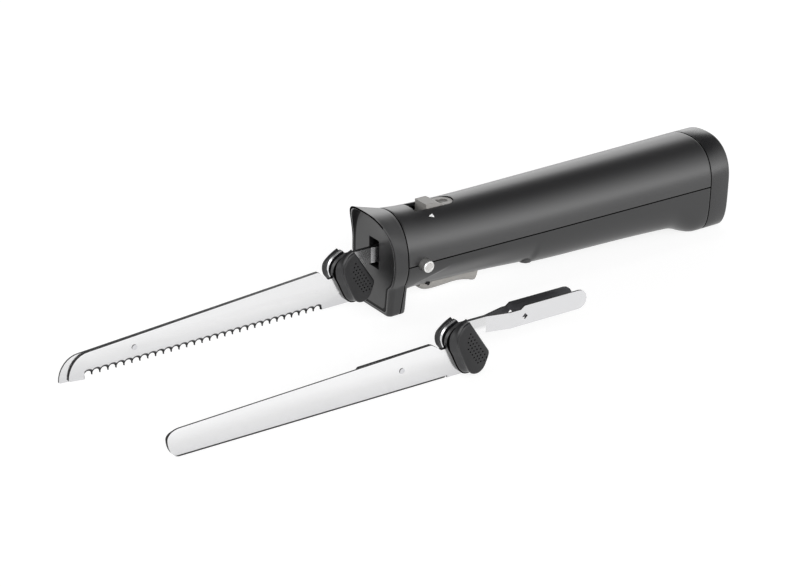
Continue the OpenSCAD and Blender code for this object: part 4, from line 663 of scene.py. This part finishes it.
for s in np.linspace(0.88, 0.07, 14):
    f = (1 - s) ** FLARE_P
    w, h = BACK_W + (RIM_W / 2 - BACK_W) * f, BACK_H + (RIM_H - BACK_H) * f
    loop = nose_loop(w, h, 0, NOSE_P + (RIM_P - NOSE_P) * f)
    rows.append((nose_ring(loop, s, soft=2.2 * max(1 - s / 0.3, 0) ** 2), SKIN))
for r in np.radians(np.linspace(0, 90, 5)):
    loop = nose_loop(RIM_W / 2, RIM_H, 0.5 * (1 - math.cos(r)), RIM_P)
    rows.append((nose_ring(loop, 0, lead=-0.5 * (1 - math.sin(r)), soft=1.7 + 0.5 * math.sin(r)), GAP))
for t, inset, finish in BOWL_ROWS:
    rows.append((nose_ring(nose_loop(RIM_W / 2, RIM_H, inset, RIM_P), 0, soft=2.2, plate_share=t), finish))
rings = [loop for loop, _ in rows]
pts, faces = skin(rings)


def rim_painted_shadow(q):
    """Where the rim's front edge takes a painted shadow line: over the top, and down the far side to the
    guard.
    """
    return np.where(q[:, 1] > 0, q[:, 2] > AXIS_H - 12, (q[:, 2] > AXIS_H + 7) & (q[:, 1] > -17))


# The rim's rounded front keeps its painted shadow line only over the top and down the far side; elsewhere it
# turns to skin
finish = np.repeat([f for _, f in rows[:-1]], len(rings[0]))
past_seam = np.arange(len(finish)) > len(SEAM_ROWS) * len(rings[0])
finish[(finish == GAP) & past_seam & ~np.ravel([rim_painted_shadow(q) for q in rings[:-1]])] = SKIN
finish = np.append(finish, [SKIN, SKIN])
SLOT_Y, SLOT_Z, PLATE = 5.1, 9.2, 3.0
slot_cut = prism(rect((-SLOT_Y, AXIS_H - SLOT_Z), (SLOT_Y, AXIS_H + SLOT_Z)),
                 NOSE_X - 12, NOSE_X + PLATE + 0.5, 0)
cavity_cut = prism(rect((-10.5, AXIS_H - 9.5), (10.5, AXIS_H + 11.5)), NOSE_X + PLATE, COLLAR_X + 5, 0)
collar = cut((pts, faces, finish), [slot_cut, cavity_cut], "front_collar_skin", finishes=4)
link("front_collar_skin", collar, "front_collar", slot="housing_low", sharp=38,
     more=["gap", "edge", "bowl"])

# Rear cap
CAP_R, CAP_SHARE, INNER_X = 1.8, 0.7, END_X - 3.0


def cap_ring(x, inset):
    """Whole outline of the handle's rear end at one place along X."""
    a = np.linspace(0, 180, 97)
    p = np.concatenate([top_point(CAP_X, a[:-1], inset), low_point(CAP_X, a[:0:-1], inset)])
    p[:, 0] = x
    return p


loops = [cap_ring(END_X - CAP_R + CAP_R * math.sin(r), CAP_R * (1 - math.cos(r)) * CAP_SHARE)
         for r in np.radians(np.linspace(90, 0, 12))]
loops += [cap_ring(x, inset) for x, inset in [
    (CAP_X + EDGE_X[3], 0), (CAP_X + EDGE_X[2], SEAM_SOFT), (CAP_X + EDGE_X[1], SEAM_D), (CAP_X, SEAM_D),
    (CAP_X, WALL), (INNER_X - CAP_R, WALL), (INNER_X, WALL + CAP_R)]]
INLET_Z, INLET_R = AXIS_H - 10, 5.0
inlet_cut = prism(ring(0, INLET_Z, INLET_R), CAP_X, END_X + FAR, 0)
cap = cut(skin(loops), [inlet_cut], "rear_cap_skin")
paint(cap, lambda c, n: c[:, 0] < CAP_X + SEAM_W / 2)
link("rear_cap_skin", cap, "rear_cap", sharp=38, more=["gap"])

# Trigger
TRIG = [[0, 0.35], [0.05, 0.62], [0.12, 0.82], [0.24, 0.9], [0.45, 0.87], [0.62, 0.83], [0.76, 0.92],
        [0.88, 1.1], [0.96, 1.26], [0.985, 1.2], [1, 0.75]]
TRIG_TOP, TRIG_DEPTH, TRIG_P = AXIS_H - 25.4, 7.2, 3.2


def trigger_grid():
    """Half superellipses of power TRIG_P hung below the trigger's top, deep as the table says."""
    ss = np.concatenate([np.linspace(0, 0.95, 60), np.linspace(0.955, 1, 14)])
    a = np.radians(np.linspace(180, 360, 49))
    x, y = np.meshgrid(TRIG_X + TRIG_L * ss, TRIG_W / 2 * spow(np.cos(a), 2 / TRIG_P), indexing="ij")
    z = TRIG_TOP + (curve(TRIG, ss) * TRIG_DEPTH)[:, None] * spow(np.sin(a), 2 / TRIG_P)[None]
    return np.stack([x, y, z], -1)


link("trigger_skin", mesh_of("trigger_skin", *skin(trigger_grid())), "trigger", sharp=40)
knuckle = prism(ring(PIN_X, PIN_Z, KNUCKLE_R), -KNUCKLE_HALF, KNUCKLE_HALF, 1)
link("trigger_knuckle", mesh_of("trigger_knuckle", *knuckle), "trigger", replace=False)

# The return spring from the CAD, with its finish and a mesh of its own; its points are read into ends, which
# nothing uses
coil = merged_copy("trigger_spring")
ends = np.empty(3 * len(coil.vertices))
coil.vertices.foreach_get("co", ends)
ends = ends.reshape(-1, 3)
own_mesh(link("trigger_spring_finish", coil, "trigger_spring"))

# Small pieces taken from the CAD, with their edges eased
DIMPLE_X = SLIDER_END - SLIDER_W / 2 - 1.3


def slider_faces(c, n):
    """Second finish for the floor and the wall of the oval dimple."""
    inside = (np.abs(c[:, 0] - DIMPLE_X) < 4.4) & (np.abs(c[:, 1]) < 2.7) & (c[:, 2] > AXIS_H + 17)
    return inside & (n[:, 2] > -0.1) & ((np.abs(n[:, 0]) < 0.004) | (n[:, 2] < 0.6))


eased("safety_slider", 0.4, ["slider_pit"], slider_faces, slot="slider")


def button_faces(c, n):
    """Bright end face, a brighter ring round it and a duller side."""
    r = np.hypot(c[:, 0] - BUTTON_X, c[:, 2] - SEAM_Z)
    face = np.abs(n[:, 1]) > 0.5
    return np.where(face & (r > 2.5), 2, np.where(face, 0, 1))


eased("release_button_left", 0.25, ["button_side", "button_ring"], button_faces)
eased("release_button_right", 0.25, ["button_side", "button_ring"], button_faces)
eased("inlet_bushing", 0.3)

# Blade guards
WING_L, WING_H, WING_LOW = 25.3, 35.0, AXIS_H - 26.2
WING_FRONT = WING_REAR - WING_L
INNER = np.array([[0.391, 0.917], [0.249, 0.874], [0.123, 0.82], [0.028, 0.731], [0, 0.623],
                  [0.043, 0.52], [0.123, 0.411], [0.202, 0.286], [0.304, 0.137], [0.399, 0.046],
                  [0.51, 0], [0.66, 0], [0.787, 0.074], [0.881, 0.189], [0.937, 0.303],
                  [0.945, 0.377], [0.913, 0.437]])
RIDGE = np.array([[0.47, 0.997], [0.312, 0.943], [0.178, 0.871], [0.079, 0.794], [0.04, 0.674],
                  [0.067, 0.537], [0.154, 0.4], [0.233, 0.269], [0.332, 0.131], [0.431, 0.057],
                  [0.541, 0.029], [0.676, 0.034], [0.81, 0.103], [0.897, 0.211], [0.953, 0.32],
                  [0.957, 0.383], [0.925, 0.437]])
OUTER = np.array([[0.431, 1], [0.289, 0.946], [0.198, 0.863], [0.15, 0.771], [0.146, 0.649],
                  [0.194, 0.526], [0.273, 0.383], [0.364, 0.24], [0.443, 0.131], [0.518, 0.071],
                  [0.625, 0.046], [0.739, 0.057], [0.85, 0.12], [0.925, 0.229], [0.976, 0.331],
                  [0.976, 0.389], [0.941, 0.437]])
RIGHT = np.array([[0.387, 0.903], [0.241, 0.851], [0.115, 0.789], [0.004, 0.709], [-0.028, 0.617],
                  [0.004, 0.5], [0.107, 0.394], [0.202, 0.274], [0.304, 0.149], [0.399, 0.074],
                  [0.51, 0.04], [0.66, 0.046], [0.802, 0.109], [0.889, 0.211], [0.945, 0.314],
                  [0.949, 0.38], [0.917, 0.437]])
WING_MID = np.array([WING_FRONT + WING_L / 2, WING_LOW + WING_H * 0.45])
FACE_Y, RIDGE_SHARE, EDGE_IN, EDGE_DEEP, FACE_RISE = 1.2, 0.375, 1.3, 1.1, 0.5
# How far out the near and the far guard's faces stand from the middle
NEAR_OUT, FAR_OUT = 11.0, 8.6
# A grip pit's radius, and the two ends of its cutter seen from the face
PIT_R, PIT_SPAN = 0.5, (-1.15, 0.6)
# Finishes of a guard in the order of its material slots; GAP is the second here too. The fourth is steel on a
# right guard's inner flange: a painted highlight for the bright gap between the guards
FACE, PAINTED_GLINT = 2, 3
# Rows of grip pits on the outer face, from the nose plate and the drive axis: first, last, count
GRIP = [((-20.15, 1.8), (-8.61, -15.57), 9), ((-21.09, -0.43), (-10.28, -17.0), 9),
        ((-21.68, -3.05), (-12.68, -16.98), 8), ((-21.54, -7.12), (-14.72, -17.37), 6)]


# Turn and place of the spare pair, seen from the fitted one
SPARE_TURN, SPARE_X, SPARE_Y = -1.5, 12.5, -96.0


def spare_place(p):
    """Moves points of the fitted pair to the spare pair's place on the table."""
    a = math.radians(SPARE_TURN)
    q = np.asarray(p, float) - [WING_REAR, 0, EDGE_Z]
    c, s = math.cos(a), math.sin(a)
    x = c * q[..., 0] - s * q[..., 1] + WING_REAR + SPARE_X
    y = s * q[..., 0] + c * q[..., 1] + SPARE_Y
    return np.stack([x, y, q[..., 2]], -1)


def fine_outline(shares):
    """Smooth outline through a table's points; the long rear edge back to the start stays straight."""
    d = np.r_[0, np.cumsum(np.hypot(*np.diff(shares, axis=0).T))]
    u = np.linspace(0, d[-1], 129)
    x, z = curve(np.c_[d, shares[:, 0]], u), curve(np.c_[d, shares[:, 1]], u)
    back = np.linspace(0, 1, 34)[1:-1]
    x = np.r_[x, x[-1] + (x[0] - x[-1]) * back]
    z = np.r_[z, z[-1] + (z[0] - z[-1]) * back]
    return np.stack([WING_FRONT + WING_L * x, WING_LOW + WING_H * z], -1)


def drawn_in(loop, inset, upper=False):
    """Points moved towards the wing's middle, all over or only along the upper part."""
    v = WING_MID - loop
    part = ramp(((loop[:, 1] - WING_LOW) / WING_H - 0.5) / 0.25) if upper else 1
    return loop + v * (inset * part / np.hypot(*v.T))[:, None]


def wing_loops(ridge, outer, out):
    """Rows over the wing's depth: flange, groove, ridge, hollow flank, round edge and crowned face.

    Each row is an outline, its distance from the blades and the finish of the band that starts there.
    Between two known outlines the points move in a straight line, by a smooth step over the flank.
    The round edge is a quarter of an ellipse, and the face is a paraboloid over it.
    """
    i, m, o = fine_outline(INNER), fine_outline(ridge), fine_outline(outer)

    def at(s):
        return FACE_Y + (out - FACE_Y) * s

    flank = out - EDGE_DEEP - FACE_RISE - at(RIDGE_SHARE)
    groove = drawn_in(i + (m - i) * 0.4, 1.3, True)
    rows = [(i, at(0), PAINTED_GLINT), (i, at(0.24), GAP), (drawn_in(i, 0.35, True), at(0.26), GAP),
            (groove, at(0.275), GAP), (groove, at(0.31), GAP), (drawn_in(m, 0.35, True), at(0.345), SKIN),
            (m, at(RIDGE_SHARE), SKIN)]
    for s in np.linspace(0, 1, 14)[1:-1]:
        loop = drawn_in(m + (o - m) * ramp(s), 0.8 * math.sin(math.pi * s))
        rows.append((loop, at(RIDGE_SHARE) + flank * s, SKIN))
    for a in np.linspace(0, 90, 7):
        r = math.radians(a)
        y = out - EDGE_DEEP - FACE_RISE + EDGE_DEEP * math.sin(r)
        rows.append((drawn_in(o, EDGE_IN * (1 - math.cos(r))), y, FACE if a >= 45 else SKIN))
    face = drawn_in(o, EDGE_IN)
    for k in np.linspace(1, 0.06, 12)[1:]:
        rows.append((WING_MID + (face - WING_MID) * k, out - FACE_RISE * k * k, FACE))
    return rows


def wing(node, side, ridge, outer, out, spare):
    """A blade guard with its grip's pits sunk into the outer face, their walls in painted shadow; a right one
    has a painted steel glint on its inner flange.
    """
    place = spare_place if spare else (lambda p: p)
    rows = wing_loops(ridge, outer, out)
    pts, faces = skin([place(np.insert(p, 1, side * y, axis=1)) for p, y, _ in rows])
    finish = np.repeat([f for _, _, f in rows[:-1]], len(rows[0][0]))
    if side < 0:
        finish[finish == PAINTED_GLINT] = SKIN
    pits = []
    for first, last, n in GRIP:
        for c in np.linspace(first, last, n):
            disc = ring(NOSE_X + c[0], AXIS_H + c[1], PIT_R, 10)
            pits.append(skin([place(np.insert(disc, 1, side * (out + dy), axis=1)) for dy in PIT_SPAN]))
    solid = pts, faces, np.append(finish, [SKIN, FACE])
    me = cut(solid, [joined(pits)], node + "_skin", finishes=4, walls=GAP)
    link(node + "_skin", me, node, more=["gap", "guard_face", "tang_steel_and_painted_glint"], sharp=34)


wing("blade_guard_left", -1, RIDGE, OUTER, NEAR_OUT, False)
wing("blade_guard_right", 1, INNER, RIGHT, FAR_OUT, False)
wing("spare_guard_left", -1, RIDGE, OUTER, NEAR_OUT, True)
wing("spare_guard_right", 1, INNER, RIGHT, FAR_OUT, True)


def blade(node, faces):
    """A CAD blade with polished faces, its ground edges and spine near black in painted shade, and a duller
    tang; a right one has painted shade on the inside of its tang.
    """
    me = merged_copy(node)
    link(node + "_finish", me, node, slot=faces, sharp=20, more=["steel_painted_shade", "tang_steel_and_painted_glint", "tang_painted_shade"])
    tang = WING_REAR - 8 + (SPARE_X if node.startswith("spare") else 0)
    inner = 3 if node.endswith("right") else 2
    # Faces turned away from the sides, spine, bevels and hollows, take painted shade; past the tang a right
    # blade's inner face does too
    paint(me, lambda c, n: np.where(np.abs(n[:, 1]) < np.where(c[:, 0] > tang, 0.8, 0.985), 1,
                                    np.where(c[:, 0] < tang, 0, np.where(n[:, 1] < 0, inner, 2))))


blade("blade_left", "blade_steel")
blade("blade_right", "blade_steel")
blade("spare_blade_left", "spare_steel")
blade("spare_blade_right", "spare_steel")
# The rivets' sides take the near-black steel as painted shade
for node in ("blade_rivet", "spare_rivet"):
    me = merged_copy(node)
    link(node + "_finish", me, node, sharp=25, more=["steel_painted_shade"])
    paint(me, lambda c, n: np.abs(n[:, 1]) < 0.8)

# Plain arrow printed beside the slider, on the left flank of the crown; it points to the nose
ARROW_X, ARROW_L, ARROW_HALF, ARROW_A = NOSE_X + 30.8, 3.4, 1.6, 119.0
# About the crown's radius there, which turns the arrow's width into an angle
CROWN_R = 24.0
gx = np.repeat(np.linspace(0, ARROW_L, 12)[:, None], 9, 1)
ga = ARROW_A + np.linspace(-1, 1, 9)[None] * gx / ARROW_L * np.degrees(ARROW_HALF / CROWN_R)
outer_print = top_point(ARROW_X + gx, ga, -0.04)
inner_print = top_point(ARROW_X + gx, ga, 0.1)
arrow = mesh_of("slider_arrow", *trough(outer_print, inner_print))
link("slider_arrow", arrow, "upper_shell", slot="print", replace=False)

# Stage
floor_mat = bpy.data.materials.new("pale_floor")
floor_mat.use_nodes = True
nt = floor_mat.node_tree
bsdf = nt.nodes["Principled BSDF"]
bsdf.inputs["Base Color"].default_value = (0.34, 0.34, 0.34, 1)
bsdf.inputs["Roughness"].default_value = 0.9
bsdf.inputs["Specular IOR Level"].default_value = 0.0
bsdf.inputs["Emission Color"].default_value = (1, 1, 1, 1)
# The floor glows only where the camera or a mirroring or clear surface sees it
rays = nt.nodes.new("ShaderNodeLightPath")
seen = nt.nodes.new("ShaderNodeMath")
seen.operation = "MAXIMUM"
through = nt.nodes.new("ShaderNodeMath")
through.operation = "MAXIMUM"
level = nt.nodes.new("ShaderNodeMath")
level.operation = "MULTIPLY"
level.inputs[1].default_value = 0.8
nt.links.new(rays.outputs["Is Camera Ray"], seen.inputs[0])
nt.links.new(rays.outputs["Is Glossy Ray"], seen.inputs[1])
nt.links.new(seen.outputs[0], through.inputs[0])
nt.links.new(rays.outputs["Is Transmission Ray"], through.inputs[1])
nt.links.new(through.outputs[0], level.inputs[0])
nt.links.new(level.outputs[0], bsdf.inputs["Emission Strength"])
FLOOR_HALF, FLOOR_Z = 40.0, -0.0002
floor_me = bpy.data.meshes.new("floor")
corners = [(x * FLOOR_HALF, y * FLOOR_HALF, FLOOR_Z) for x, y in [(-1, -1), (1, -1), (1, 1), (-1, 1)]]
floor_me.from_pydata(corners, [], [(0, 1, 2, 3)])
floor_me.materials.append(floor_mat)
floor = bpy.data.objects.new("floor", floor_me)
bpy.context.scene.collection.objects.link(floor)

# Studio: walls brightest at the horizon, the front one rising higher, under a dark ceiling
world = bpy.data.worlds.new("studio")
bpy.context.scene.world = world
world.use_nodes = True
wn = world.node_tree
sky = wn.nodes["Background"]
sky.inputs["Color"].default_value = (1, 1, 1, 1)
direction = wn.nodes.new("ShaderNodeTexCoord")
split = wn.nodes.new("ShaderNodeSeparateXYZ")
wn.links.new(direction.outputs["Generated"], split.inputs["Vector"])


def wall_ramp(stops):
    """Brightness of a wall over the sine of the elevation, in straight lines between the stops."""
    ramp_node = wn.nodes.new("ShaderNodeFloatCurve")
    c = ramp_node.mapping.curves[0]
    for k, (at, value) in enumerate(stops):
        point = c.points[k] if k < 2 else c.points.new(at, value)
        point.location = (at, value)
    for point in c.points:
        point.handle_type = "VECTOR"
    ramp_node.mapping.update()
    wn.links.new(split.outputs["Z"], ramp_node.inputs["Value"])
    return ramp_node


front_wall = wall_ramp([(0.0, 1.0), (1.0, 0.03), (0.12, 0.95), (0.35, 0.6), (0.58, 0.33), (0.75, 0.13),
                        (0.85, 0.03)])
rear_wall = wall_ramp([(0.0, 0.45), (1.0, 0.03), (0.15, 0.7), (0.4, 0.85), (0.52, 0.25), (0.63, 0.03)])
facing = wn.nodes.new("ShaderNodeMapRange")
facing.interpolation_type = "SMOOTHSTEP"
facing.inputs["From Min"].default_value = -0.35
facing.inputs["From Max"].default_value = 0.35
blend = wn.nodes.new("ShaderNodeMix")
gain = wn.nodes.new("ShaderNodeMath")
gain.operation = "MULTIPLY"
wn.links.new(split.outputs["Y"], facing.inputs["Value"])
wn.links.new(facing.outputs["Result"], blend.inputs["Factor"])
wn.links.new(front_wall.outputs["Value"], blend.inputs["A"])
wn.links.new(rear_wall.outputs["Value"], blend.inputs["B"])
# The walls past the two ends of the knife are dimmer, so that the handle stays dark in views along it
ends = wn.nodes.new("ShaderNodeMath")
ends.operation = "ABSOLUTE"
dim = wn.nodes.new("ShaderNodeMapRange")
dim.interpolation_type = "SMOOTHSTEP"
for key, value in [("From Min", 0.6), ("From Max", 0.9), ("To Min", 3.2), ("To Max", 1.1)]:
    dim.inputs[key].default_value = value
wn.links.new(split.outputs["X"], ends.inputs[0])
wn.links.new(ends.outputs[0], dim.inputs["Value"])
wn.links.new(dim.outputs["Result"], gain.inputs[1])
wn.links.new(blend.outputs["Result"], gain.inputs[0])
wn.links.new(gain.outputs[0], sky.inputs["Strength"])


def soft_box(name, pos, size, power):
    """Rectangular light aimed at the middle of the handle."""
    d = bpy.data.lights.new(name, "AREA")
    d.shape, d.size, d.size_y, d.energy = "RECTANGLE", size[0], size[1], power
    o = bpy.data.objects.new(name, d)
    o.location = pos
    o.rotation_mode = "QUATERNION"
    o.rotation_quaternion = (Vector((0.09, 0.0, 0.04)) - Vector(pos)).to_track_quat("-Z", "Y")
    bpy.context.scene.collection.objects.link(o)


soft_box("near_box", (-0.75, -1.75, 1.1), (1.0, 0.7), 12)
soft_box("top_box", (0.3, 0.5, 2.2), (0.5, 0.5), 3)

# Camera at the photograph's angle
AZ, EL, ROLL, LENS = math.radians(-35.204), math.radians(25.203), math.radians(0.772), 99.69
back = Vector((math.sin(AZ) * math.cos(EL), -math.cos(AZ) * math.cos(EL), math.sin(EL)))
level_right = Vector((math.cos(AZ), math.sin(AZ), 0))
level_up = back.cross(level_right)
right = level_right * math.cos(ROLL) + level_up * math.sin(ROLL)
up = level_up * math.cos(ROLL) - level_right * math.sin(ROLL)
cam_d = bpy.data.cameras.new("camera")
cam_d.sensor_fit, cam_d.sensor_width, cam_d.lens = "HORIZONTAL", 36.0, LENS
cam_d.clip_start, cam_d.clip_end = 0.05, 20
cam = bpy.data.objects.new("camera", cam_d)
pose = Matrix((right, up, back)).transposed().to_4x4()
pose.translation = Vector((-0.67147, -0.96351, 0.56100))
cam.matrix_world = pose
bpy.context.scene.collection.objects.link(cam)
bpy.context.scene.camera = cam
bpy.context.scene.view_settings.view_transform = "Standard"
